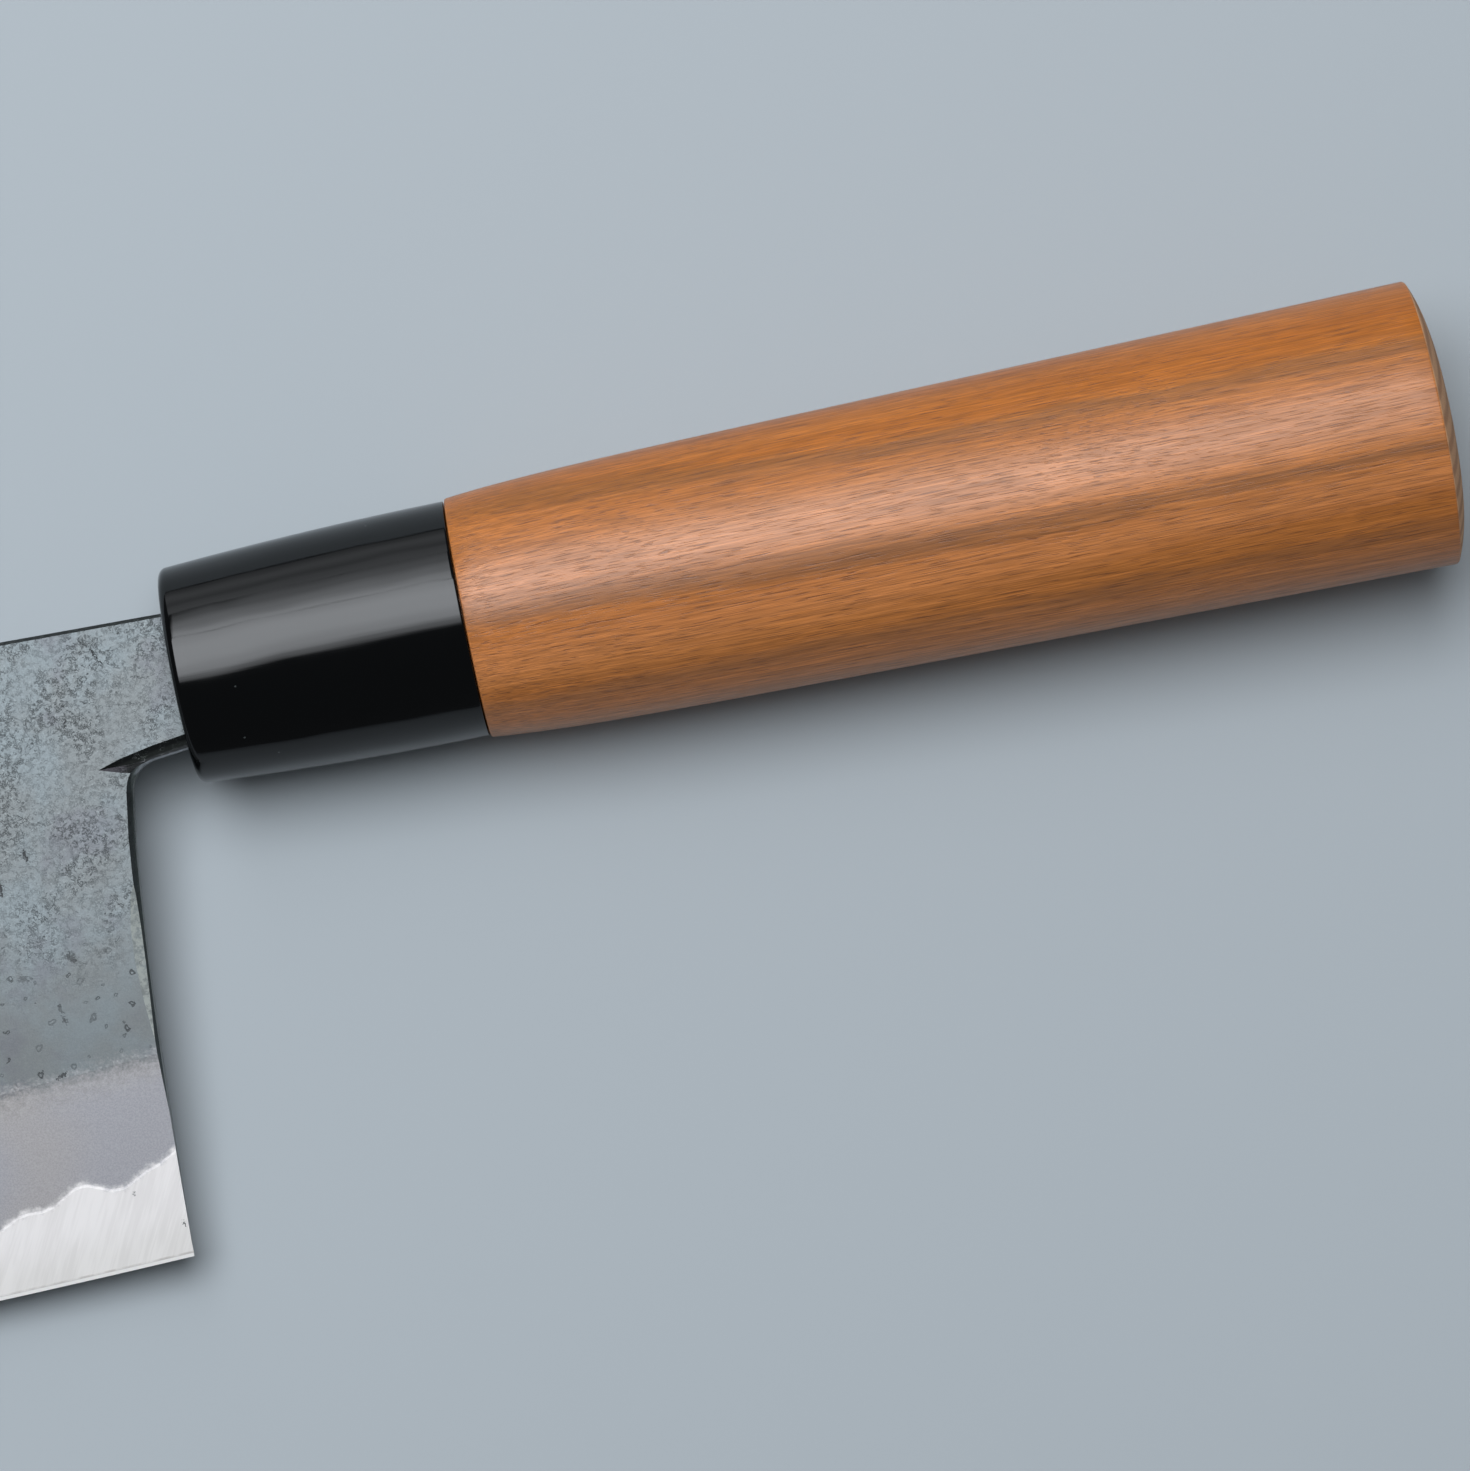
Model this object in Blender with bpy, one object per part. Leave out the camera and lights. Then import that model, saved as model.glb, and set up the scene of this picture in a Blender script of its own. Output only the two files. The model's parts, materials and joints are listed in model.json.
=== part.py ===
# A forged cleaver with a laminated blade, a black ferrule and an oval wooden handle.
#
# The knife is drawn with x along the handle towards the butt, y towards the spine and z out of
# the left face. x = 0 is the ferrule's mouth, on the handle's axis. At the end it is laid on its
# side, as it rests on a table, with the origin under the middle of its footprint.

import math

import bmesh
import bpy
import numpy as np
from mathutils import Matrix, Vector

MM = 0.001

# Blade outline
NECK_LENGTH = 10.05 * MM  # from the ferrule's mouth forward to the heel tip
BLADE_LENGTH = 165.0 * MM  # from the heel tip to the front
SPINE_HEIGHT = 6.7 * MM  # above the handle's axis, at the ferrule's mouth
SPINE_RISE = math.radians(1.1)  # the spine climbs towards the front
HEEL_DEPTH = 58.15 * MM  # the heel tip below the handle's axis
EDGE_RADIUS = 1500.0 * MM  # the cutting edge is one long arc
EDGE_LOW_POINT = 54.0 * MM  # its lowest point lies this far ahead of the heel tip
BROW_RADIUS = 9.0 * MM  # front corner at the spine
TOE_RADIUS = 5.0 * MM  # front corner at the edge
HEEL_CORNER_BACK = 3.65 * MM  # the neck's underside meets the heel this far behind the heel tip
HEEL_CORNER_DROP = 0.73 * MM  # and this far below the neck's depth at the ferrule
HEEL_CORNER_RADIUS = 3.4 * MM
HEEL_HOLLOW_BACK = 0.9 * MM  # a point behind the heel tip draws the back of the heel hollow
HEEL_HOLLOW_DROP = 14.0 * MM  # it lies this far below the corner

# Blade thickness
SPINE_THICKNESS_HEEL = 3.6 * MM
SPINE_THICKNESS_FRONT = 2.6 * MM
RIDGE_THICKNESS_HEEL = 2.9 * MM  # where the flat meets the ground bevel
RIDGE_HEIGHT_HEEL = 21.0 * MM  # of the ground bevel above the edge
RIDGE_HEIGHT_FRONT = 16.0 * MM
SPINE_CHAMFER = 0.35 * MM
EDGE_BEVEL_HEIGHT = 0.4 * MM
EDGE_BEVEL_THICKNESS = 0.24 * MM

# Lamination: how much core steel the ground bevel lays bare, and the waves of its upper line
CORE_SHOWN = 7.6 * MM
CORE_HEEL_RISE = 3.3 * MM
CORE_HEEL_FADE = 1.9 * MM
CORE_WAVES = (  # height, length and first rise of each wave, counted forward from the heel tip
    (0.5 * MM, 6.95 * MM, 1.1 * MM),
    (0.3 * MM, 13.1 * MM, 7.8 * MM),
    (1.15 * MM, 35.0 * MM, -1.3 * MM),
)
CORE_STEP = 1.25 * MM
WELD_GAP = 0.02 * MM  # between forge-welded layers

# Neck and tang
NECK_DEPTH = 7.3 * MM  # the neck's underside below the axis, at the ferrule's mouth
TANG_LENGTH = 95.0 * MM  # past the ferrule's mouth
TANG_END_HEIGHT = 6.0 * MM
TANG_END_THICKNESS = 2.0 * MM
TANG_SHOULDER = 6.0 * MM  # the tang starts to taper this far inside the ferrule

# File work at the neck and the heel: each stroke's half width, and its depth as a share of that
NECK_ROUND = 1.7 * MM
NECK_ROUND_END = 1.6 * MM
NECK_ROUND_SLOPE = 0.45
NOTCH_START = Vector((-1.1, 0.33)) * MM  # from the heel's corner
NOTCH_HALF_WIDTH = 0.8 * MM
NOTCH_LENGTH = 2.55 * MM  # the file runs on past the corner into the face
ARRIS_NECK = 0.65 * MM
ARRIS_HEEL = 0.7 * MM
ARRIS_END = 0.15 * MM
ARRIS_SLOPE = 1.45
HEEL_FACET = 1.5 * MM
HEEL_FACET_SLOPE = 0.3
HEEL_FACET_FROM = 0.25  # shares of the heel's back, from the corner to the heel tip
HEEL_FACET_TO = 0.7
HEEL_FACET_CROWDING = 0.75  # under 1 puts the facet's widest place nearer its upper end
STROKE_END = 0.01 * MM
STROKE_CLEAR = 0.04 * MM  # a stroke runs this far outside its wall and above the face

# Ferrule
FERRULE_LENGTH = 29.9 * MM
FERRULE_FRONT_HEIGHT = 22.3 * MM
FERRULE_BACK_HEIGHT = 24.4 * MM
FERRULE_FRONT_THICKNESS = 19.7 * MM
FERRULE_BACK_THICKNESS = 21.5 * MM
FERRULE_WALL = 1.8 * MM
FERRULE_FRONT_WALL = 5.0 * MM
FERRULE_RIM_RADIUS = 0.85 * MM
FERRULE_BACK_CHAMFER = 0.15 * MM

# Tang slot and its seal
SLOT_CLEARANCE = 1.4 * MM
SLOT_CORNER_RADIUS = 1.2 * MM
SEAL_DEPTH = 4.0 * MM
SEAL_RECESS = 0.3 * MM

# Wooden handle
HANDLE_LENGTH = 130.2 * MM  # from the ferrule's mouth to the butt's rim
HANDLE_FRONT_HEIGHT = 24.8 * MM
HANDLE_FRONT_THICKNESS = 21.8 * MM
HANDLE_SWELL = 1.5 * MM  # the quick swell behind the ferrule
HANDLE_SWELL_LENGTH = 8.0 * MM
HANDLE_BUTT_HEIGHT = 29.4 * MM
HANDLE_BUTT_THICKNESS = 25.0 * MM
HANDLE_OFFSET = 0.1 * MM  # ferrule and wood sit this much towards the spine at the mouth
HANDLE_LEAN = 0.4 * MM  # and at the butt this much more
BUTT_DOME = 1.6 * MM
BUTT_FULLNESS = 4  # 2 would be a ball's curve, and more is flatter in the middle
BUTT_ROUNDING = 0.3 * MM
BUTT_TURN = math.radians(72)  # the rounding turns this far, and the dome goes on from there
JOINT_ROUNDING = 0.25 * MM
TENON_LEAD = 0.8 * MM

# Clearances between separate pieces
FIT = 0.3 * MM
JOINT_GAP = 0.12 * MM  # between the ferrule's back rim and the wood's shoulder

# How far a trimming cutter stands clear of what it keeps, and how far a cut runs past its end
CUTTER_REACH = 12.0 * MM
CUTTER_OVERRUN = 2.0 * MM

OVAL_SIDES = 64
BLADE_STEP = 9.0 * MM
HEEL_BACK_STEPS = 14

# Densities in kg/m3
STEEL = 7850.0
HORN = 1300.0
RESIN = 1200.0
WOOD = 680.0

HEEL_X = -NECK_LENGTH
FRONT_X = HEEL_X - BLADE_LENGTH
HEEL_CORNER = Vector((HEEL_X + HEEL_CORNER_BACK, -NECK_DEPTH - HEEL_CORNER_DROP))
HEEL_HOLLOW = Vector((HEEL_X + HEEL_HOLLOW_BACK, HEEL_CORNER.y - HEEL_HOLLOW_DROP))


# Scene helpers

def clear_scene():
    for item in list(bpy.data.objects):
        bpy.data.objects.remove(item, do_unlink=True)


def new_collection(name):
    collection = bpy.data.collections.new(name)
    bpy.context.scene.collection.children.link(collection)
    return collection


def new_material(name, colour, roughness, metallic):
    material = bpy.data.materials.new(name)
    material.use_nodes = True
    shader = material.node_tree.nodes["Principled BSDF"]
    shader.inputs["Base Color"].default_value = (*colour, 1.0)
    shader.inputs["Roughness"].default_value = roughness
    shader.inputs["Metallic"].default_value = metallic
    material.diffuse_color = (*colour, 1.0)
    return material


def new_object(name, mesh, collection, material=None):
    item = bpy.data.objects.new(name, mesh)
    collection.objects.link(item)
    if material:
        mesh.materials.append(material)
    return item


def as_cutter(item):
    item.hide_render = True
    item.display_type = "WIRE"
    return item


def curve_to_mesh(curve, collection):
    """The curve's solid as a mesh object with its caps welded. The curve is removed."""
    bpy.context.view_layer.update()
    graph = bpy.context.evaluated_depsgraph_get()
    mesh = bpy.data.meshes.new_from_object(curve.evaluated_get(graph))
    work = bmesh.new()
    work.from_mesh(mesh)
    bmesh.ops.remove_doubles(work, verts=work.verts, dist=0.001 * MM)
    bmesh.ops.recalc_face_normals(work, faces=work.faces)
    work.to_mesh(mesh)
    work.free()
    item = new_object(curve.name, mesh, collection)
    item.matrix_world = curve.matrix_world
    item.name = curve.name
    bpy.data.objects.remove(curve, do_unlink=True)
    return item


def plate(name, outline, thickness, collection, place=Matrix.Identity(4)):
    """A flat outline in x and y, extruded to a thickness about z and put in its place."""
    data = bpy.data.curves.new(name + "_outline", "CURVE")
    data.dimensions = "2D"
    data.fill_mode = "BOTH"
    data.extrude = thickness / 2
    spline = data.splines.new("POLY")
    spline.points.add(len(outline) - 1)
    for point, (x, y) in zip(spline.points, outline):
        point.co = (x, y, 0.0, 1.0)
    spline.use_cyclic_u = True
    curve = bpy.data.objects.new(name + "_curve", data)
    collection.objects.link(curve)
    item = curve_to_mesh(curve, collection)
    item.name = name
    item.data.transform(place)
    return item


def file_stroke(name, path, radii, slope, collection):
    """A square file drawn along a path on the left face, one edge leading, flattened to a slope."""
    data = bpy.data.curves.new(name + "_path", "CURVE")
    data.dimensions = "3D"
    data.bevel_depth = 1.0
    data.bevel_resolution = 0
    data.use_fill_caps = True
    spline = data.splines.new("POLY")
    spline.points.add(len(path) - 1)
    for point, place, radius in zip(spline.points, path, radii):
        point.co = (place.x, place.y, 0.0, 1.0)
        point.radius = radius
    curve = bpy.data.objects.new(name + "_curve", data)
    collection.objects.link(curve)
    item = curve_to_mesh(curve, collection)
    item.name = name
    for vertex in item.data.vertices:
        vertex.co.z = vertex.co.z * slope + half_thickness(vertex.co.x, vertex.co.y) + STROKE_CLEAR
    return as_cutter(item)


def loft(name, rings, collection, material=None):
    """A closed solid through rings with equal numbers of points, with flat ends."""
    work = bmesh.new()
    rows = [[work.verts.new(point) for point in ring] for ring in rings]
    for before, after in zip(rows, rows[1:]):
        for i in range(len(before)):
            j = (i + 1) % len(before)
            work.faces.new((before[i], before[j], after[j], after[i]))
    work.faces.new(rows[0])
    work.faces.new(rows[-1])
    bmesh.ops.recalc_face_normals(work, faces=work.faces)
    mesh = bpy.data.meshes.new(name)
    work.to_mesh(mesh)
    work.free()
    return new_object(name, mesh, collection, material)


def boolean(item, cutter, operation="DIFFERENCE"):
    modifier = item.modifiers.new(f"{operation.lower()} {cutter.name}", "BOOLEAN")
    modifier.operation = operation
    modifier.solver = "EXACT"
    modifier.object = cutter


def bend(start, control, end, steps):
    """Points along a curve that leaves start towards control and reaches end from it."""
    points = []
    for i in range(steps + 1):
        t = i / steps
        points.append(start * (1 - t) ** 2 + control * (2 * t * (1 - t)) + end * t**2)
    return points


def fillet(before, corner, after, radius, steps=6):
    """The points of a rounded corner of the path before, corner, after."""
    towards_before = (before - corner).normalized()
    towards_after = (after - corner).normalized()
    half_angle = towards_before.angle(towards_after) / 2
    reach = radius / math.tan(half_angle)
    return bend(corner + towards_before * reach, corner, corner + towards_after * reach, steps)


# Blade form

def corner_drop(x, radius):
    """How far a rounded front corner has fallen away from its straight line at x."""
    into_corner = FRONT_X + radius - x
    if into_corner <= 0:
        return 0.0
    return radius - math.sqrt(max(0.0, radius**2 - into_corner**2))


def spine_line(x):
    return SPINE_HEIGHT - x * math.tan(SPINE_RISE)


def edge_line(x):
    low_x = HEEL_X - EDGE_LOW_POINT
    low_y = -HEEL_DEPTH - EDGE_LOW_POINT**2 / (2 * EDGE_RADIUS)
    return low_y + (x - low_x) ** 2 / (2 * EDGE_RADIUS)


def along_blade(x):
    """0 at the heel tip and 1 at the front."""
    return (HEEL_X - x) / BLADE_LENGTH


def ridge_height(x):
    share = min(max(along_blade(x), 0.0), 1.0)
    return RIDGE_HEIGHT_HEEL + (RIDGE_HEIGHT_FRONT - RIDGE_HEIGHT_HEEL) * share


def flat_half_thickness(x, y):
    """Half the thickness between the flats, two planes that close towards the front and the edge."""
    heel_top = spine_line(HEEL_X)
    heel_ridge = edge_line(HEEL_X) + RIDGE_HEIGHT_HEEL
    per_y = (SPINE_THICKNESS_HEEL - RIDGE_THICKNESS_HEEL) / 2 / (heel_top - heel_ridge)
    climb = spine_line(FRONT_X) - heel_top
    front_loss = (SPINE_THICKNESS_HEEL - SPINE_THICKNESS_FRONT) / 2 + climb * per_y
    per_x = front_loss / BLADE_LENGTH
    return SPINE_THICKNESS_HEEL / 2 + (x - HEEL_X) * per_x + (y - heel_top) * per_y


def half_thickness(x, y):
    """The flats, and behind the ferrule's mouth the tang that thins towards its end."""
    if x <= 0:
        return flat_half_thickness(x, y)
    share = x / TANG_LENGTH
    return flat_half_thickness(0, y) * (1 - share) + TANG_END_THICKNESS / 2 * share


def bevel_half_thickness(x, above_edge):
    """Half the thickness on the ground bevel at a height above the cutting edge."""
    ridge = ridge_height(x)
    at_ridge = flat_half_thickness(x, edge_line(x) + ridge)
    at_edge = EDGE_BEVEL_THICKNESS / 2
    share = (above_edge - EDGE_BEVEL_HEIGHT) / (ridge - EDGE_BEVEL_HEIGHT)
    return at_edge + (at_ridge - at_edge) * share


def core_shown(x):
    """Height of bare core steel above the edge, with the waves that forging leaves."""
    ahead = max(HEEL_X - x, 0.0)
    shown = CORE_SHOWN + CORE_HEEL_RISE * math.exp(-ahead / CORE_HEEL_FADE)
    for height, length, start in CORE_WAVES:
        shown += height * math.sin(math.tau * (ahead - start) / length)
    return shown


def core_half_thickness(x):
    """Half the core layer, so thick that the bevel lays bare the height that core_shown gives."""
    at_mouth = bevel_half_thickness(0, core_shown(0))
    if x <= 0:
        return bevel_half_thickness(x, core_shown(x))
    return at_mouth * half_thickness(x, 0) / half_thickness(0, 0)


def blade_section(x):
    top = spine_line(x) - corner_drop(x, BROW_RADIUS)
    edge = edge_line(x) + corner_drop(x, TOE_RADIUS)
    ridge = edge_line(x) + ridge_height(x)
    side = [
        (top, half_thickness(x, top) - SPINE_CHAMFER),
        (top - SPINE_CHAMFER, half_thickness(x, top - SPINE_CHAMFER)),
        (ridge, half_thickness(x, ridge)),
        (edge + EDGE_BEVEL_HEIGHT, EDGE_BEVEL_THICKNESS / 2),
    ]
    left = [Vector((x, y, z)) for y, z in side]
    right = [Vector((x, y, -z)) for y, z in reversed(side)]
    return left + [Vector((x, edge, 0.0))] + right


def blade_stations():
    corner_steps = 7
    longest = max(BROW_RADIUS, TOE_RADIUS)
    stations = []
    for i in range(corner_steps):
        angle = math.pi / 2 * i / corner_steps
        stations.append(FRONT_X + longest * (1 - math.cos(angle)))
    count = round((-FRONT_X - longest) / BLADE_STEP)
    for i in range(count + 1):
        stations.append((FRONT_X + longest) * (1 - i / count))
    tang_steps = 4
    for i in range(1, tang_steps + 1):
        stations.append((TANG_LENGTH + FIT) * i / tang_steps)
    return stations


def heel_back():
    """The back of the heel from the neck's corner down to the heel tip, in a shallow hollow."""
    tip = Vector((HEEL_X, -HEEL_DEPTH))
    return bend(HEEL_CORNER, HEEL_HOLLOW, tip, HEEL_BACK_STEPS)


def neck_line(x):
    """The neck's underside, a straight line from the heel's corner into the ferrule."""
    fall = (-NECK_DEPTH - HEEL_CORNER.y) / -HEEL_CORNER.x
    return -NECK_DEPTH + x * fall


def neck_start():
    return Vector((TANG_SHOULDER, neck_line(TANG_SHOULDER)))


def heel_corner_arc():
    """The rounded inner corner between the neck's underside and the back of the heel."""
    return fillet(neck_start(), HEEL_CORNER, heel_back()[2], HEEL_CORNER_RADIUS, 10)


def tang_half_height(x):
    """Half the tang's height past its shoulder."""
    share = (x - TANG_SHOULDER) / (TANG_LENGTH - TANG_SHOULDER)
    full = spine_line(TANG_SHOULDER) - neck_line(TANG_SHOULDER)
    return (full + (TANG_END_HEIGHT - full) * share) / 2


def tang_middle():
    return (spine_line(TANG_SHOULDER) + neck_line(TANG_SHOULDER)) / 2


def trim_outline():
    """What is left of the forged bar: blade, neck and tang, clear of the spine, edge and front."""
    spine_top = spine_line(FRONT_X) + CUTTER_REACH
    edge_bottom = -HEEL_DEPTH - CUTTER_REACH
    middle = tang_middle()
    end_half = tang_half_height(TANG_LENGTH)
    outline = [
        Vector((FRONT_X - CUTTER_REACH, spine_top)),
        Vector((FRONT_X - CUTTER_REACH, edge_bottom)),
        Vector((HEEL_X, edge_bottom)),
    ]
    outline += list(reversed(heel_back()[3:]))
    outline += list(reversed(heel_corner_arc()))
    outline += [
        neck_start(),
        Vector((TANG_LENGTH, middle - end_half)),
        Vector((TANG_LENGTH, middle + end_half)),
        Vector((TANG_SHOULDER, middle + tang_half_height(TANG_SHOULDER))),
        Vector((TANG_SHOULDER, spine_top)),
    ]
    return outline


def mirrored(name, item, collection):
    """The same cutter on the right face."""
    mesh = item.data.copy()
    mesh.transform(Matrix.Scale(-1, 4, Vector((0, 0, 1))))
    mesh.flip_normals()
    return as_cutter(new_object(name, mesh, collection))


def spread(first, last, count):
    """Evenly spaced values from first to last."""
    return [first + (last - first) * i / (count - 1) for i in range(count)]


def make_file_work(collection):
    """What the file leaves: a rounded neck with a notch past its end, an arris and the heel's facet."""
    below = Vector((0, -STROKE_CLEAR))
    behind = Vector((STROKE_CLEAR, 0))
    arc = [point + below + behind for point in heel_corner_arc()]
    back = [point + behind for point in heel_back()]
    notch = HEEL_CORNER + NOTCH_START
    neck = [neck_start() + below, arc[0], notch, notch - Vector((NOTCH_LENGTH, 0))]
    neck_radii = [NECK_ROUND, NECK_ROUND_END, NOTCH_HALF_WIDTH, STROKE_END]
    arris = [neck_start() + below] + arc + back[3:]
    arris_radii = [ARRIS_NECK] + spread(ARRIS_NECK, ARRIS_HEEL, len(arc))
    arris_radii += spread(ARRIS_HEEL, ARRIS_END, len(back) - 3)
    first, last = (round(share * HEEL_BACK_STEPS) for share in (HEEL_FACET_FROM, HEEL_FACET_TO))
    facet = back[first : last + 1]
    facet_radii = []
    for i in range(len(facet)):
        share = (i / (len(facet) - 1)) ** HEEL_FACET_CROWDING
        facet_radii.append(HEEL_FACET * math.sin(math.pi * share) + STROKE_END)
    strokes = [
        file_stroke("neck_round_left", neck, neck_radii, NECK_ROUND_SLOPE, collection),
        file_stroke("arris_left", arris, arris_radii, ARRIS_SLOPE, collection),
        file_stroke("heel_facet_left", facet, facet_radii, HEEL_FACET_SLOPE, collection),
    ]
    strokes += [mirrored(s.name.replace("left", "right"), s, collection) for s in list(strokes)]
    return strokes


def make_blank(collection):
    """The whole outer form of blade, neck and tang, which trims each layer."""
    blank = loft("forged_form", [blade_section(x) for x in blade_stations()], collection)
    trim = as_cutter(plate("trim", trim_outline(), 2 * CUTTER_REACH, collection))
    boolean(blank, trim, "INTERSECT")
    for stroke in make_file_work(collection):
        boolean(blank, stroke)
    return as_cutter(blank)


def layer_line():
    """Points of the line between core and cladding, along the blade and the tang."""
    start = FRONT_X - CUTTER_OVERRUN
    end = HEEL_X + CUTTER_OVERRUN
    count = round((end - start) / CORE_STEP)
    line = []
    for i in range(count + 1):
        x = start + (end - start) * i / count
        line.append((x, core_half_thickness(x)))
    for x in (0.0, TANG_LENGTH + CUTTER_OVERRUN):
        line.append((x, core_half_thickness(x)))
    return line


def layer(name, low, high, blank, collection, cutters, material):
    """One forged layer: a sheet between two wavy lines seen from the spine, trimmed to the form."""
    outline = low + list(reversed(high))
    bottom = -HEEL_DEPTH - CUTTER_REACH
    top = spine_line(FRONT_X) + CUTTER_REACH
    stand_up = Matrix.Translation((0, (bottom + top) / 2, 0)) @ Matrix.Rotation(math.pi / 2, 4, "X")
    item = plate(name, outline, top - bottom, cutters, stand_up)
    cutters.objects.unlink(item)
    collection.objects.link(item)
    item.data.materials.append(material)
    boolean(item, blank, "INTERSECT")
    return item


def make_blade(collection, cutters, steel, iron):
    blank = make_blank(cutters)
    line = layer_line()
    core_low = [(x, -z) for x, z in line]
    left_low = [(x, z + WELD_GAP) for x, z in line]
    left_high = [(line[0][0], CUTTER_REACH), (line[-1][0], CUTTER_REACH)]
    right_low = [(x, -z) for x, z in left_high]
    right_high = [(x, -z) for x, z in left_low]
    return [
        layer("core_steel", core_low, line, blank, collection, cutters, steel),
        layer("left_cladding", left_low, left_high, blank, collection, cutters, iron),
        layer("right_cladding", right_low, right_high, blank, collection, cutters, iron),
    ]


# Ferrule, seal and handle

def handle_middle(x):
    """How far the handle's own axis lies from the blade's, towards the spine."""
    return HANDLE_OFFSET + HANDLE_LEAN * x / HANDLE_LENGTH


def oval(x, half_y, half_z):
    ring = []
    for i in range(OVAL_SIDES):
        angle = math.tau * i / OVAL_SIDES
        ring.append(Vector((x, handle_middle(x) + half_y * math.cos(angle), half_z * math.sin(angle))))
    return ring


def ferrule_half(x):
    """Half height and half thickness of the ferrule, which widens fast and eases out at the wood."""
    share = 1 - (1 - min(x / FERRULE_LENGTH, 1.0)) ** 2
    height = FERRULE_FRONT_HEIGHT + (FERRULE_BACK_HEIGHT - FERRULE_FRONT_HEIGHT) * share
    thickness = FERRULE_FRONT_THICKNESS + (FERRULE_BACK_THICKNESS - FERRULE_FRONT_THICKNESS) * share
    return height / 2, thickness / 2


def socket_half(x):
    """Half height and half thickness of the straight socket inside the ferrule."""
    front = ferrule_half(FERRULE_FRONT_WALL)
    back = ferrule_half(FERRULE_LENGTH)
    share = (x - FERRULE_FRONT_WALL) / (FERRULE_LENGTH - FERRULE_FRONT_WALL)
    return tuple(low + (high - low) * share - FERRULE_WALL for low, high in zip(front, back))


def inset_oval(x, size, inset):
    return oval(x, size[0] - inset, size[1] - inset)


def make_slot(name, grow, depth_start, depth_end, collection):
    """A prism along x with the neck's section, grown by a clearance, with rounded corners."""
    half_y = (SPINE_HEIGHT + NECK_DEPTH) / 2 + grow
    half_z = half_thickness(0, SPINE_HEIGHT) + grow
    radius = min(SLOT_CORNER_RADIUS, half_z)
    corners = [Vector((z * half_z, y * half_y)) for z, y in ((-1, -1), (1, -1), (1, 1), (-1, 1))]
    outline = []
    for i, corner in enumerate(corners):
        outline += fillet(corners[i - 1], corner, corners[(i + 1) % 4], radius, 4)
    length = depth_end - depth_start
    turn = Matrix(((0, 0, 1, 0), (0, 1, 0, 0), (-1, 0, 0, 0), (0, 0, 0, 1)))
    middle = Matrix.Translation((depth_start + length / 2, (SPINE_HEIGHT - NECK_DEPTH) / 2, 0))
    return plate(name, outline, length, collection, middle @ turn)


def make_ferrule(collection, cutters, material):
    """A cap with a slotted front wall and an oval socket behind it."""
    rings = []
    rim_steps = 4
    for i in range(rim_steps + 1):
        angle = math.pi / 2 * i / rim_steps
        x = FERRULE_RIM_RADIUS * (1 - math.cos(angle))
        inset = FERRULE_RIM_RADIUS * (1 - math.sin(angle))
        rings.append(inset_oval(x, ferrule_half(x), inset))
    body_steps = 8
    back = FERRULE_LENGTH - FERRULE_BACK_CHAMFER
    for i in range(1, body_steps + 1):
        x = FERRULE_RIM_RADIUS + (back - FERRULE_RIM_RADIUS) * i / body_steps
        rings.append(inset_oval(x, ferrule_half(x), 0))
    rings.append(inset_oval(FERRULE_LENGTH, ferrule_half(FERRULE_LENGTH), FERRULE_BACK_CHAMFER))
    rings.append(inset_oval(FERRULE_LENGTH, socket_half(FERRULE_LENGTH), 0))
    rings.append(inset_oval(FERRULE_FRONT_WALL, socket_half(FERRULE_FRONT_WALL), 0))
    ferrule = loft("ferrule", rings, collection, material)
    slot_end = FERRULE_FRONT_WALL + CUTTER_OVERRUN
    slot = as_cutter(make_slot("tang_slot", SLOT_CLEARANCE, -CUTTER_OVERRUN, slot_end, cutters))
    boolean(ferrule, slot)
    return ferrule


def make_seal(collection, cutters, material):
    """The ring of resin that fills the slot between the tang and the ferrule."""
    seal = make_slot("tang_seal", SLOT_CLEARANCE - FIT, SEAL_RECESS, SEAL_RECESS + SEAL_DEPTH, cutters)
    cutters.objects.unlink(seal)
    collection.objects.link(seal)
    seal.data.materials.append(material)
    passage_end = SEAL_RECESS + SEAL_DEPTH + CUTTER_OVERRUN
    passage = as_cutter(make_slot("tang_passage", FIT, -CUTTER_OVERRUN, passage_end, cutters))
    boolean(seal, passage)
    return seal


def handle_half(x):
    """Half height and half thickness of the wood behind the ferrule: a quick swell, then a slow one."""
    shoulder = FERRULE_LENGTH + JOINT_GAP
    along = x - shoulder
    length = HANDLE_LENGTH - shoulder
    swell = HANDLE_SWELL * (1 - math.exp(-along / HANDLE_SWELL_LENGTH))
    full_swell = HANDLE_SWELL * (1 - math.exp(-length / HANDLE_SWELL_LENGTH))
    rest_height = HANDLE_BUTT_HEIGHT - HANDLE_FRONT_HEIGHT - full_swell
    rest_thickness = HANDLE_BUTT_THICKNESS - HANDLE_FRONT_THICKNESS - full_swell
    height = HANDLE_FRONT_HEIGHT + swell + rest_height * along / length
    thickness = HANDLE_FRONT_THICKNESS + swell + rest_thickness * along / length
    return height / 2, thickness / 2


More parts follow.
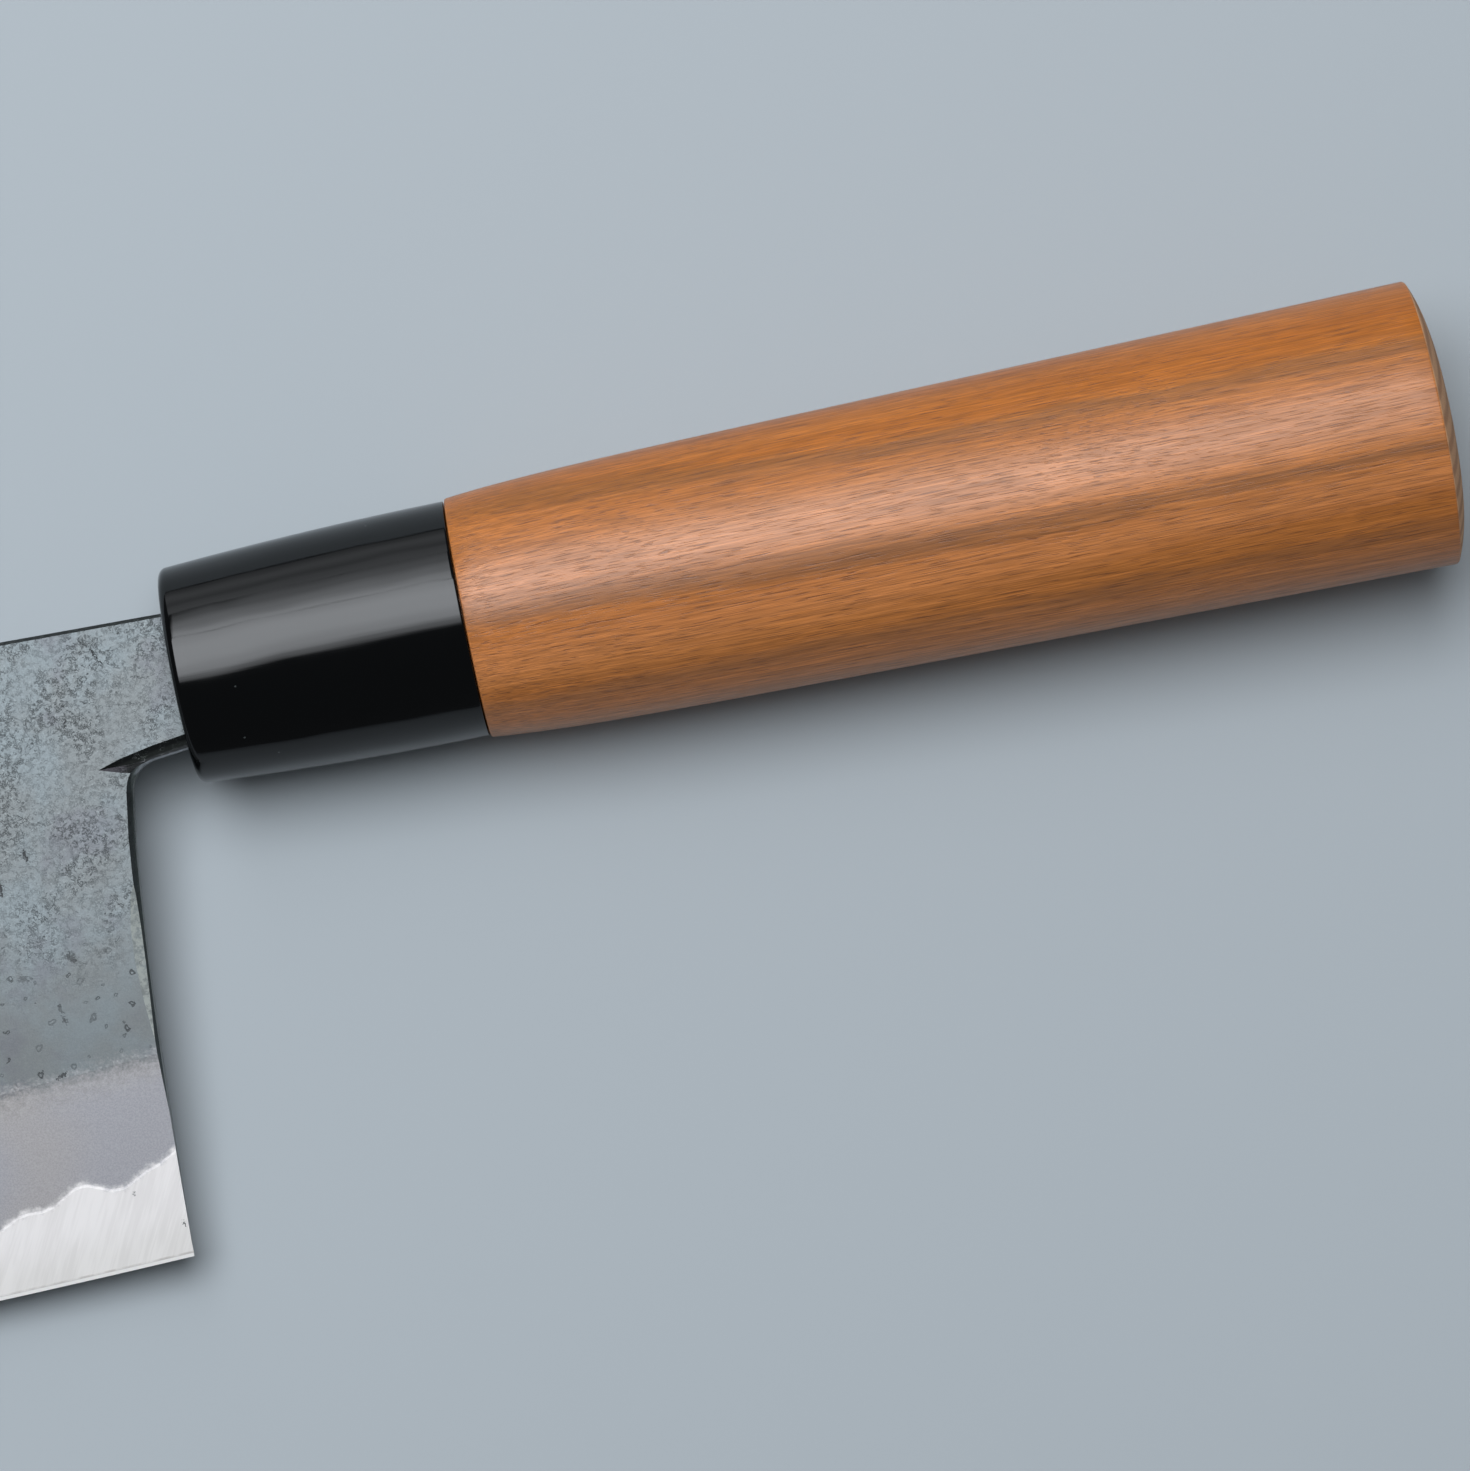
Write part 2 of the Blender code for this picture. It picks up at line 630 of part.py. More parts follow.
def make_handle(collection, cutters, material):
    """The wood: a tenon for the ferrule's socket, the swelling grip and a slightly domed butt."""
    shoulder = FERRULE_LENGTH + JOINT_GAP
    tenon_start = FERRULE_FRONT_WALL + FIT
    full_tenon = tenon_start + TENON_LEAD
    rings = [
        inset_oval(tenon_start, socket_half(tenon_start), FIT + TENON_LEAD),
        inset_oval(full_tenon, socket_half(full_tenon), FIT),
        inset_oval(shoulder, socket_half(shoulder), FIT),
        inset_oval(shoulder, handle_half(shoulder), JOINT_ROUNDING),
    ]
    rim = HANDLE_LENGTH - BUTT_ROUNDING
    start = shoulder + JOINT_ROUNDING
    grip_steps = 16
    crowding = 1.4  # sets the rings closer where the wood swells fast
    for i in range(grip_steps + 1):
        share = (i / grip_steps) ** crowding
        x = start + (rim - start) * share
        rings.append(inset_oval(x, handle_half(x), 0))
    rounding_steps = 3
    for i in range(1, rounding_steps + 1):
        angle = BUTT_TURN * i / rounding_steps
        x = rim + BUTT_ROUNDING * math.sin(angle)
        inset = BUTT_ROUNDING * (1 - math.cos(angle))
        rings.append(inset_oval(x, handle_half(rim), inset))
    dome_start, dome_size = x, [half - inset for half in handle_half(rim)]
    dome_steps = 6
    crowding = 0.6  # sets the rings closer near the rim
    for i in range(1, dome_steps):
        rest = (1 - i / dome_steps) ** crowding
        x = dome_start + (HANDLE_LENGTH + BUTT_DOME - dome_start) * (1 - rest**BUTT_FULLNESS)
        rings.append(oval(x, dome_size[0] * rest, dome_size[1] * rest))
    handle = loft("handle", rings, collection, material)
    boolean(handle, make_tang_hole(cutters))
    return handle


def make_tang_hole(cutters):
    """The burnt-in hole: the tang's own taper with a clearance, and a little deeper than the tang."""
    middle = tang_middle()
    start = min(FERRULE_FRONT_WALL, TANG_SHOULDER) - CUTTER_OVERRUN
    rings = []
    for x in (start, TANG_SHOULDER, TANG_LENGTH + FIT):
        half_y = tang_half_height(max(x, TANG_SHOULDER)) + FIT
        half_z = half_thickness(x, SPINE_HEIGHT) + FIT
        rings.append([
            Vector((x, middle + half_y, -half_z)),
            Vector((x, middle + half_y, half_z)),
            Vector((x, middle - half_y, half_z)),
            Vector((x, middle - half_y, -half_z)),
        ])
    return as_cutter(loft("tang_hole", rings, cutters))


# Rest on a table

def world_points(item, graph):
    mesh = item.evaluated_get(graph).to_mesh()
    mesh.calc_loop_triangles()
    points = np.array([vertex.co for vertex in mesh.vertices])
    triangles = np.array([triangle.vertices for triangle in mesh.loop_triangles])
    item.evaluated_get(graph).to_mesh_clear()
    return points, triangles


def mass_centre(parts, densities):
    """The common centre of mass, with all points of all parts."""
    graph = bpy.context.evaluated_depsgraph_get()
    mass = 0.0
    moment = np.zeros(3)
    cloud = []
    for item, density in zip(parts, densities):
        points, triangles = world_points(item, graph)
        a, b, c = (points[triangles[:, k]] for k in range(3))
        volumes = np.einsum("ij,ij->i", a, np.cross(b, c)) / 6
        mass += density * volumes.sum()
        moment += density * (volumes[:, None] * (a + b + c) / 4).sum(axis=0)
        cloud.append(points)
    return Vector(moment / mass), np.concatenate(cloud), mass


def inside(face, point):
    """Whether the point's foot on the face's plane lies in the face."""
    corners = [vertex.co for vertex in face.verts]
    for i, corner in enumerate(corners):
        side = corners[(i + 1) % len(corners)] - corner
        if side.cross(point - corner).dot(face.normal) < 0:
            return False
    return True


def lay_on_side(parts, densities, everything, collection):
    """Turns the knife until it rests on its right side, with the origin under its footprint."""
    bpy.context.view_layer.update()
    centre, cloud, mass = mass_centre(parts, densities)
    hull = bmesh.new()
    for point in cloud:
        hull.verts.new(point)
    bmesh.ops.convex_hull(hull, input=hull.verts)
    hull.normal_update()
    below = [face for face in hull.faces if face.normal.z < 0]
    stable = [face for face in below if inside(face, centre)]
    support = min(stable, key=lambda face: face.normal.z)
    turn = support.normal.rotation_difference(Vector((0, 0, -1))).to_matrix()
    print("rests on", [tuple(round(c / MM, 2) for c in vertex.co) for vertex in support.verts], "mm")
    hull.free()
    turned = cloud @ np.array(turn).T
    low = turned.min(axis=0)
    high = turned.max(axis=0)
    shift = Vector((-(low[0] + high[0]) / 2, -(low[1] + high[1]) / 2, -low[2]))
    place = bpy.data.objects.new("rest_place", None)
    collection.objects.link(place)
    for item in everything:
        item.parent = place
    place.matrix_world = Matrix.Translation(shift) @ turn.to_4x4()
    print(f"mass {mass:.3f} kg, centre {[round(c / MM, 2) for c in centre]} mm")
    print("place", [[round(v, 6) for v in row] for row in place.matrix_world])


def main():
    clear_scene()
    cleaver = new_collection("cleaver")
    cutters = new_collection("cutters")
    steel = new_material("core steel", (0.78, 0.78, 0.77), 0.22, 1.0)
    iron = new_material("forge-scaled iron", (0.27, 0.30, 0.32), 0.5, 0.85)
    horn = new_material("black horn", (0.012, 0.013, 0.014), 0.14, 0.0)
    resin = new_material("dark resin", (0.02, 0.018, 0.016), 0.35, 0.0)
    wood = new_material("red-brown wood", (0.42, 0.20, 0.085), 0.42, 0.0)
    parts = make_blade(cleaver, cutters, steel, iron)
    parts.append(make_ferrule(cleaver, cutters, horn))
    parts.append(make_seal(cleaver, cutters, resin))
    parts.append(make_handle(cleaver, cutters, wood))
    densities = [STEEL] * 3 + [HORN, RESIN, WOOD]
    lay_on_side(parts, densities, parts + list(cutters.objects), cleaver)


main()
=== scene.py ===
# %% [markdown]
# # A forged cleaver in its finishes
#
# The solids of this knife are already modelled at their real size: a blade of three forge-welded
# layers, a black ferrule, a seal of resin and a wooden handle. This lesson gives them their look.
# It loads the solids, finds out how the knife lies, sets a camera and a light, and then works
# from the handle to the edge, one piece and one finish at a time.

# %% Load the solids
import json
import math

import bmesh
import bpy
from mathutils import Matrix, Vector


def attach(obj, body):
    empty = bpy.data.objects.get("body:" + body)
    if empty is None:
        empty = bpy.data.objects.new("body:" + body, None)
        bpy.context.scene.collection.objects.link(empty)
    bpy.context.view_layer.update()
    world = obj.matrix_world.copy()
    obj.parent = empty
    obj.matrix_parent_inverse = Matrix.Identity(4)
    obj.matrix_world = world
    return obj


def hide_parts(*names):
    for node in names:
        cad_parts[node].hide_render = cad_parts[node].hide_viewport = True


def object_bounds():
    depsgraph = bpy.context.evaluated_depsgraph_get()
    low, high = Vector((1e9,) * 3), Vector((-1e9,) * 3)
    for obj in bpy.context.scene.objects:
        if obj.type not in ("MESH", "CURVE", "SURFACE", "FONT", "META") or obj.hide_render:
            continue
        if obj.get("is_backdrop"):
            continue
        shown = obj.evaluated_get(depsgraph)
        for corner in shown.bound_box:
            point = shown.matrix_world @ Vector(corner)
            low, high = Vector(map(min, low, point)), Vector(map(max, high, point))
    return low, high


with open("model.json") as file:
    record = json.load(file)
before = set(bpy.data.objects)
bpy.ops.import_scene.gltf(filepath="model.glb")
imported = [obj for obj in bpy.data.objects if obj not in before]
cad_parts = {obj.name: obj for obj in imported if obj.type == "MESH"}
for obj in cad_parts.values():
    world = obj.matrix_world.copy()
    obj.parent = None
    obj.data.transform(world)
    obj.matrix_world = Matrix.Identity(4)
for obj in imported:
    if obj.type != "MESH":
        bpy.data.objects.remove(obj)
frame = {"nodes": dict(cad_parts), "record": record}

MM = 0.001
cad_low, cad_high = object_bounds()
print("solids:", sorted(frame["nodes"]))
print("size in mm:", [round(side / MM, 1) for side in cad_high - cad_low])

# %% [markdown]
# ## How the knife lies
#
# The knife lies on its side and leans a little, because it touches the table only with the front
# of the blade and the underside of the handle. Everything below is easier in the knife's own
# directions: x along the handle towards the butt, y towards the spine, z out of the face that we
# see. Both flats of the blade have a mount with its outward normal. Their difference is square to
# the blade, and the tilt that brings the world's z there gives the other two directions.

# %% Find the knife's own directions
HANDLE_LENGTH = 130.2 * MM  # from the ferrule's mouth to the butt's rim
HANDLE_OFFSET = 0.1 * MM  # the handle's axis lies this much nearer the spine than the blade's
HANDLE_LEAN = 0.4 * MM  # and this much more at the butt

flats = {mount["name"]: Vector(mount["axis"]) for mount in frame["record"]["mounts"]}
across = (flats["left_flat"] - flats["right_flat"]).normalized()
tilt = Vector((0, 0, 1)).rotation_difference(across).to_matrix()
lengthwise, spinewards, across = tilt.col


def reach(node, direction):
    """How far a solid reaches along a direction: its lowest and its highest value."""
    values = [vertex.co.dot(direction) for vertex in frame["nodes"][node].data.vertices]
    return min(values), max(values)


def handle_middle(x):
    """How far the handle's axis lies from the blade's at a distance behind the ferrule's mouth."""
    return HANDLE_OFFSET + HANDLE_LEAN * x / HANDLE_LENGTH


mouth_x, ferrule_end = reach("ferrule", lengthwise)
middle_y = sum(reach("ferrule", spinewards)) / 2 - handle_middle(ferrule_end - mouth_x)
middle_z = sum(reach("ferrule", across)) / 2
mouth = lengthwise * mouth_x + spinewards * middle_y + across * middle_z
place = Matrix.Translation(mouth) @ tilt.to_4x4()
print("ferrule's mouth in mm:", [round(value / MM, 2) for value in mouth])
print("lean in degrees:", round(math.degrees(across.angle(Vector((0, 0, 1)))), 2))

# %% [markdown]
# ## Camera
#
# The picture is a close view from straight above, with the front of the blade outside it. The
# lens stands 64 cm away: there the ferrule's rounded mouth and the rim of the butt lean away from
# the picture's middle by the right amount. The camera looks square to the blade, so its place is
# given in the knife's directions and then carried over to the world. Its roll makes the handle
# rise to the right.

# %% Set the camera
PICTURE_WIDTH = 150.0 * MM  # what the picture shows at the blade's middle plane
CAMERA_DISTANCE = 640.0 * MM
AIM = Vector((54.4, -16.9)) * MM  # the picture's middle, in x and y of the knife
HANDLE_RISE = math.radians(11.3)

camera_data = bpy.data.cameras.new("camera")
camera_data.sensor_width = 36.0
camera_data.lens = camera_data.sensor_width * CAMERA_DISTANCE / PICTURE_WIDTH
camera = bpy.data.objects.new("camera", camera_data)
bpy.context.collection.objects.link(camera)
stand = Matrix.Translation((AIM.x, AIM.y, CAMERA_DISTANCE))
camera.matrix_world = place @ stand @ Matrix.Rotation(-HANDLE_RISE, 4, "Z")
bpy.context.scene.camera = camera
print("lens in mm:", round(camera_data.lens, 1))

# %% [markdown]
# ## Helpers for nodes
#
# A lamp or a finish is a small graph of nodes. Writing each node in one call keeps it readable: the
# call names the node, what goes into its sockets, and its settings, and gives back its output.
# A value that is a socket is linked, and any other value is set on the socket itself.

# %% Node helpers
def put(tree, kind, inputs=None, output=0, **settings):
    """Adds a node, fills its inputs by name or number and returns one of its outputs."""
    item = tree.nodes.new("ShaderNode" + kind)
    for name, value in settings.items():
        setattr(item, name, value)
    for key, value in (inputs or {}).items():
        if isinstance(value, bpy.types.NodeSocket):
            tree.links.new(value, item.inputs[key])
        else:
            item.inputs[key].default_value = value
    return item.outputs[output]


def calc(tree, operation, *values):
    """A Math node, for one to three numbers."""
    return put(tree, "Math", dict(enumerate(values)), operation=operation)


def times(tree, value, factor):
    """One number times another."""
    return calc(tree, "MULTIPLY", value, factor)


def calc_vector(tree, operation, *values, output=0):
    """A Vector Math node. A distance and a dot product come out of its output called Value."""
    return put(tree, "VectorMath", dict(enumerate(values)), output, operation=operation)


def scaled(tree, vector, factor):
    """A vector or a colour times one number."""
    return put(tree, "VectorMath", {0: vector, "Scale": factor}, operation="SCALE")


def mix(tree, share, low, high):
    """A colour between two colours."""
    return put(tree, "Mix", {0: share, 6: low, 7: high}, output=2, data_type="RGBA")


def soft_step(tree, value, low, high, to_low=0.0, to_high=1.0):
    """Rises smoothly from to_low to to_high while the value goes from low to high."""
    inputs = {"Value": value, "From Min": low, "From Max": high, "To Min": to_low, "To Max": to_high}
    return put(tree, "MapRange", inputs, interpolation_type="SMOOTHSTEP")


def split(tree, vector):
    """The three numbers of a vector or a colour."""
    item = tree.nodes.new("ShaderNodeSeparateXYZ")
    tree.links.new(vector, item.inputs[0])
    return item.outputs


def ramp(tree, value, stops, interpolation="LINEAR"):
    """A colour that runs through stops. Each has a position from 0 to 1 and a colour."""
    item = tree.nodes.new("ShaderNodeValToRGB")
    item.color_ramp.interpolation = interpolation
    while len(item.color_ramp.elements) < len(stops):
        item.color_ramp.elements.new(0.5)
    for element, (position, colour) in zip(item.color_ramp.elements, stops):
        element.position = position
        element.color = (*colour, 1.0)
    tree.links.new(value, item.inputs[0])
    return item.outputs[0]


def noise(tree, vector, scale, detail=3.0, roughness=0.5, distortion=0.0):
    """Soft random spots, most of them between 0.3 and 0.7. A larger scale makes them smaller."""
    inputs = {
        "Vector": vector,
        "Scale": scale,
        "Detail": detail,
        "Roughness": roughness,
        "Distortion": distortion,
    }
    return put(tree, "TexNoise", inputs)


def long_noise(tree, vector, scale, lean=0.0, **settings):
    """Noise that is longer one way: its coordinates are turned about z and then scaled."""
    turned = put(tree, "Mapping", {"Vector": vector, "Rotation": (0, 0, lean)})
    return noise(tree, calc_vector(tree, "MULTIPLY", turned, scale), 1.0, **settings)


def knife_millimetres(tree):
    """Object coordinates in the knife's own directions, in millimetres from the ferrule's mouth."""
    inputs = {
        "Vector": put(tree, "TexCoord", output="Object"),
        "Location": mouth,
        "Rotation": tilt.to_euler(),
        "Scale": (MM, MM, MM),
    }
    return put(tree, "Mapping", inputs, vector_type="TEXTURE")


def new_material(name, **values):
    """A material with its tree and shader, and the shader's even values set on its sockets."""
    material = bpy.data.materials.new(name)
    material.use_nodes = True
    shader = material.node_tree.nodes["Principled BSDF"]
    for socket, value in values.items():
        shader.inputs[socket.replace("_", " ")].default_value = value
    return material, material.node_tree, shader


def use(tree, shader, **sockets):
    """Links outputs to the shader's sockets."""
    for name, output in sockets.items():
        tree.links.new(output, shader.inputs[name.replace("_", " ")])


def bump(tree, height, distance, strength=1.0):
    """A normal that leans as if the surface rose by the height times the distance."""
    return put(tree, "Bump", {"Height": height, "Distance": distance, "Strength": strength})


def dress(item, material):
    """Gives a piece its one material."""
    item.data.materials.clear()
    item.data.materials.append(material)
    print(item.name, "has", material.name, "of", len(material.node_tree.nodes), "nodes")


# %% [markdown]
# ## Light, floor and room
#
# A wide soft box hangs over the knife and reaches towards the spine's side. A real soft box is
# brightest in its middle and fades to its rims, and the polished ferrule shows that fall, so the
# lamp's strength follows a ramp across its depth. Its near end lies almost straight above the
# handle, which gives the ferrule's highlight its crisp lower side. A narrower panel and a dim
# wall carry the fall on towards the horizon. The room is dim, and only the camera sees it pale.

# %% Light the table
PANEL_HEIGHT = 1.1
LIGHT_COLOUR = (0.96, 1.0, 1.05)
PEAK_RADIANCE = 6.8
ROOM_COLOUR = (0.92, 0.98, 1.04, 1.0)
ROOM_LIGHT = 0.095  # how strongly the room lights the knife
ROOM_SEEN = 0.75  # and how bright the camera sees it


def hang_panel(name, middle, facing, width, depth, levels, side):
    """A lamp whose radiance runs through levels from near to far and fades at its sides."""
    lamp = bpy.data.lights.new(name, "AREA")
    lamp.shape = "RECTANGLE"
    lamp.size = width
    lamp.size_y = depth
    lamp.energy = PEAK_RADIANCE * math.pi * width * depth
    lamp.color = LIGHT_COLOUR
    lamp.use_nodes = True
    tree = lamp.node_tree
    sideways, along, _ = split(tree, put(tree, "NewGeometry", output="Parametric"))
    stops = [(place_on_lamp, [radiance / PEAK_RADIANCE] * 3) for place_on_lamp, radiance in levels]
    level = ramp(tree, along, stops, "EASE")
    left = soft_step(tree, sideways, 0.0, side)
    right = soft_step(tree, sideways, 1.0, 1.0 - side)
    strength = times(tree, level, times(tree, left, right))
    tree.links.new(strength, tree.nodes["Emission"].inputs["Strength"])
    panel = bpy.data.objects.new(name, lamp)
    panel.location = middle
    panel.rotation_euler = facing.to_track_quat("-Z", "Y").to_euler()
    panel.visible_camera = False
    bpy.context.collection.objects.link(panel)
    print(name, round(width, 2), "by", round(depth, 2), "m")


# Each level is a place across the lamp's depth, from 0 to 1, and the radiance there.
down = Vector((0, 0, -1))
soft_box = [(0.0, 0.2), (0.09, 2.2), (0.24, 5.4), (0.48, 6.7), (0.7, 6.8), (1.0, 5.7)]
hang_panel("soft_box", Vector((-0.15, 0.292, PANEL_HEIGHT)), down, 1.14, 0.85, soft_box, 0.13)
fall = [(0.0, 5.7), (0.26, 3.2), (0.6, 1.75), (1.0, 1.15)]
hang_panel("narrow_panel", Vector((-0.2, 1.275, PANEL_HEIGHT)), down, 0.6, 1.1, fall, 0.3)
wall = [(0.0, 0.35), (0.33, 0.85), (0.59, 0.62), (0.77, 0.95), (1.0, 1.15)]
hang_panel("far_wall", Vector((-0.2, 1.84, 0.575)), Vector((0, -1, 0)), 1.2, 1.05, wall, 0.2)

world = bpy.data.worlds.new("dim_room")
bpy.context.scene.world = world
world.use_nodes = True
room = world.node_tree
background = room.nodes["Background"]
background.inputs["Color"].default_value = ROOM_COLOUR
seen = put(room, "LightPath", output="Is Camera Ray")
level = put(room, "MapRange", {"Value": seen, "To Min": ROOM_LIGHT, "To Max": ROOM_SEEN})
room.links.new(level, background.inputs["Strength"])
bpy.context.scene.view_settings.view_transform = "Standard"

# %% Lay the floor
FLOOR_SIZE = 6.0
FLOOR_COLOUR = (0.418, 0.456, 0.48, 1.0)

bpy.ops.mesh.primitive_plane_add(size=FLOOR_SIZE, location=(0, 0, 0))
floor = bpy.context.object
floor.name = "floor"
floor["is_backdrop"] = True
floor_values = {"Base_Color": FLOOR_COLOUR, "Roughness": 0.9, "Specular_IOR_Level": 0.2}
pale_floor, _, _ = new_material("pale_floor", **floor_values)
dress(floor, pale_floor)

# %% [markdown]
# ## Helpers for modelling
#
# The ferrule and the handle are long ovals that change from end to end. As a maker turns and
# sands them from one end to the other, they are drawn out here: an oval is added, and its rim is
# extruded and resized, again and again.

# %% Modelling helpers
OVAL_SIDES = 160


def deselect_all():
    """Operators act on all that is selected, so this comes before each new piece."""
    bpy.ops.object.select_all(action="DESELECT")


def start_oval(name, station):
    """A new oval in the plane across the handle, left in edit mode with its rim selected."""
    x, half_height, half_thickness, middle = station
    deselect_all()
    circle = {"vertices": OVAL_SIDES, "radius": 1.0, "fill_type": "NGON"}
    bpy.ops.mesh.primitive_circle_add(**circle, location=(0, 0, 0), rotation=(0, math.pi / 2, 0))
    item = bpy.context.object
    item.name = name
    item.data.name = name
    bpy.ops.object.transform_apply(rotation=True)
    bpy.ops.object.mode_set(mode="EDIT")
    bpy.ops.mesh.select_all(action="SELECT")
    bpy.ops.transform.resize(value=(1, half_height, half_thickness), center_override=(0, 0, 0))
    bpy.ops.transform.translate(value=(x, middle, 0))
    return item


def draw_out(stations):
    """Extrudes the selected end through the stations: place, half height, half thickness, middle."""
    for before, after in zip(stations, stations[1:]):
        step = (after[0] - before[0], after[3] - before[3], 0)
        bpy.ops.mesh.extrude_region_move(TRANSFORM_OT_translate={"value": step})
        grow = (1, after[1] / before[1], after[2] / before[2])
        bpy.ops.transform.resize(value=grow, center_override=(after[0], after[3], 0))


def pick(kind, test):
    """In edit mode, selects the vertices, edges or faces whose middle passes the test."""
    mesh = bpy.context.object.data
    bpy.ops.mesh.select_mode(type=kind)
    bpy.ops.mesh.select_all(action="DESELECT")
    work = bmesh.from_edit_mesh(mesh)
    found = 0
    for element in {"VERT": work.verts, "EDGE": work.edges, "FACE": work.faces}[kind]:
        if kind == "VERT":
            middle = element.co
        else:
            middle = sum((vertex.co for vertex in element.verts), Vector()) / len(element.verts)
        if test(middle, element):
            element.select_set(True)
            found += 1
    work.select_flush_mode()
    bmesh.update_edit_mesh(mesh)
    return found


def add_modifier(item, kind, **settings):
    """Adds a modifier and applies it at once."""
    modifier = item.modifiers.new(kind.lower(), kind)
    for name, value in settings.items():
        setattr(modifier, name, value)
    bpy.context.view_layer.objects.active = item
    bpy.ops.object.modifier_apply(modifier=modifier.name)


def finish_piece(item, node):
    """Smooths a piece that was drawn in the knife's directions and puts it where the knife lies."""
    deselect_all()
    item.select_set(True)
    bpy.context.view_layer.objects.active = item
    bpy.ops.object.shade_smooth_by_angle(angle=math.radians(30))
    item.matrix_world = place
    bpy.ops.object.transform_apply(location=True, rotation=True, scale=True)
    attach(item, "root")
    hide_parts(node)
    print(item.name, "has", len(item.data.polygons), "faces")


def near(value, target, tolerance=0.02 * MM):
    """Whether a length is as good as the same as another."""
    return abs(value - target) < tolerance


# %% [markdown]
# ## The ferrule
#
# The ferrule is a cap of polished black horn, or a plastic that looks like it. It widens fast
# behind its mouth and eases out at the wood, because both were sanded to one curve. Ovals that
# follow the curve make the wall. The bevel operator rounds the front rim better than a row of
# rings would, because its radius is then one value. Behind, the socket for the wood is extruded
# inwards. The slot for the tang is cut with a boxy cutter whose long edges are bevelled first.

# %% Model the ferrule
SKIN = 0.025 * MM  # the dressed surfaces lie this far inside the solids' ovals
FERRULE_MOUTH = (11.15 * MM, 9.85 * MM)  # half height and half thickness
FERRULE_BACK = (12.2 * MM, 10.75 * MM)
FERRULE_RIM_RADIUS = 0.85 * MM
FERRULE_RIM_SEGMENTS = 8
FERRULE_BACK_CHAMFER = 0.15 * MM
FERRULE_WALL = 1.8 * MM
FERRULE_FRONT_WALL = 5.0 * MM
FERRULE_STEPS = 24
OUTER_SHARE = 0.9  # tells the outer oval, where a sum is 1, from the socket's at about 0.7

ferrule_length = ferrule_end - mouth_x
print("the ferrule is", round(ferrule_length / MM, 2), "mm long")


def ferrule_half(x):
    """Half height and half thickness of the ferrule at a distance behind its mouth."""
    share = 1 - (1 - min(x / ferrule_length, 1.0)) ** 2
    return [front + (back - front) * share for front, back in zip(FERRULE_MOUTH, FERRULE_BACK)]


def socket_oval(x, inset=0.0):
    """A station in the straight socket inside the ferrule."""
    share = (x - FERRULE_FRONT_WALL) / (ferrule_length - FERRULE_FRONT_WALL)
    ends = zip(ferrule_half(FERRULE_FRONT_WALL), ferrule_half(ferrule_length))
    height, thickness = (low + (high - low) * share - FERRULE_WALL - inset for low, high in ends)
    return (x, height, thickness, handle_middle(x))


outside = []
places = [ferrule_length * i / FERRULE_STEPS for i in range(FERRULE_STEPS)]
for x in (*places, ferrule_length - 2 * FERRULE_BACK_CHAMFER, ferrule_length):
    height, thickness = ferrule_half(x)
    outside.append((x, height - SKIN, thickness - SKIN, handle_middle(x)))
inside = [socket_oval(ferrule_length), socket_oval(FERRULE_FRONT_WALL)]
ferrule = start_oval("polished_ferrule", outside[0])
draw_out(outside + inside)
bpy.ops.mesh.select_all(action="SELECT")
bpy.ops.mesh.normals_make_consistent(inside=False)
pick("EDGE", lambda middle, edge: all(near(vertex.co.x, 0) for vertex in edge.verts))
bpy.ops.mesh.bevel(offset=FERRULE_RIM_RADIUS, segments=FERRULE_RIM_SEGMENTS, affect="EDGES")


def on_back_rim(middle, edge):
    """An edge of the wood's end of the ferrule, on its outer oval."""
    if not all(near(vertex.co.x, ferrule_length) for vertex in edge.verts):
        return False
    height, thickness = ferrule_half(ferrule_length)
    from_axis = middle.y - handle_middle(ferrule_length)
    return (from_axis / height) ** 2 + (middle.z / thickness) ** 2 > OUTER_SHARE


pick("EDGE", on_back_rim)
bpy.ops.mesh.bevel(offset=FERRULE_BACK_CHAMFER, segments=2, affect="EDGES")
bpy.ops.object.mode_set(mode="OBJECT")

# %% Cut the slot for the tang
SLOT_HALF_HEIGHT = 8.4 * MM
SLOT_HALF_WIDTH = 3.2 * MM
SLOT_MIDDLE = -0.3 * MM
SLOT_CORNER = 1.2 * MM
SLOT_MARGIN = 4.0 * MM  # the cutter reaches past the front wall by half of this on both sides

slot_length = FERRULE_FRONT_WALL + SLOT_MARGIN
deselect_all()
bpy.ops.mesh.primitive_cube_add(size=1.0, location=(FERRULE_FRONT_WALL / 2, SLOT_MIDDLE, 0))
slot_cutter = bpy.context.object
slot_cutter.scale = (slot_length, 2 * SLOT_HALF_HEIGHT, 2 * SLOT_HALF_WIDTH)
bpy.ops.object.transform_apply(location=True, scale=True)
bpy.ops.object.mode_set(mode="EDIT")
pick("EDGE", lambda middle, edge: near(middle.x, FERRULE_FRONT_WALL / 2))
bpy.ops.mesh.bevel(offset=SLOT_CORNER, segments=5, affect="EDGES")
bpy.ops.object.mode_set(mode="OBJECT")
add_modifier(ferrule, "BOOLEAN", object=slot_cutter, operation="DIFFERENCE", solver="EXACT")
bpy.data.objects.remove(slot_cutter)
finish_piece(ferrule, "ferrule")

# %% [markdown]
# ## The wooden handle
#
# The grip swells fast just behind the ferrule and then slowly towards the butt, and leans a
# little towards the spine. The stations follow that swell. Its shoulder has a small chamfer, the
# butt's rim is crisp, and the end is a low dome that shows past the rim.

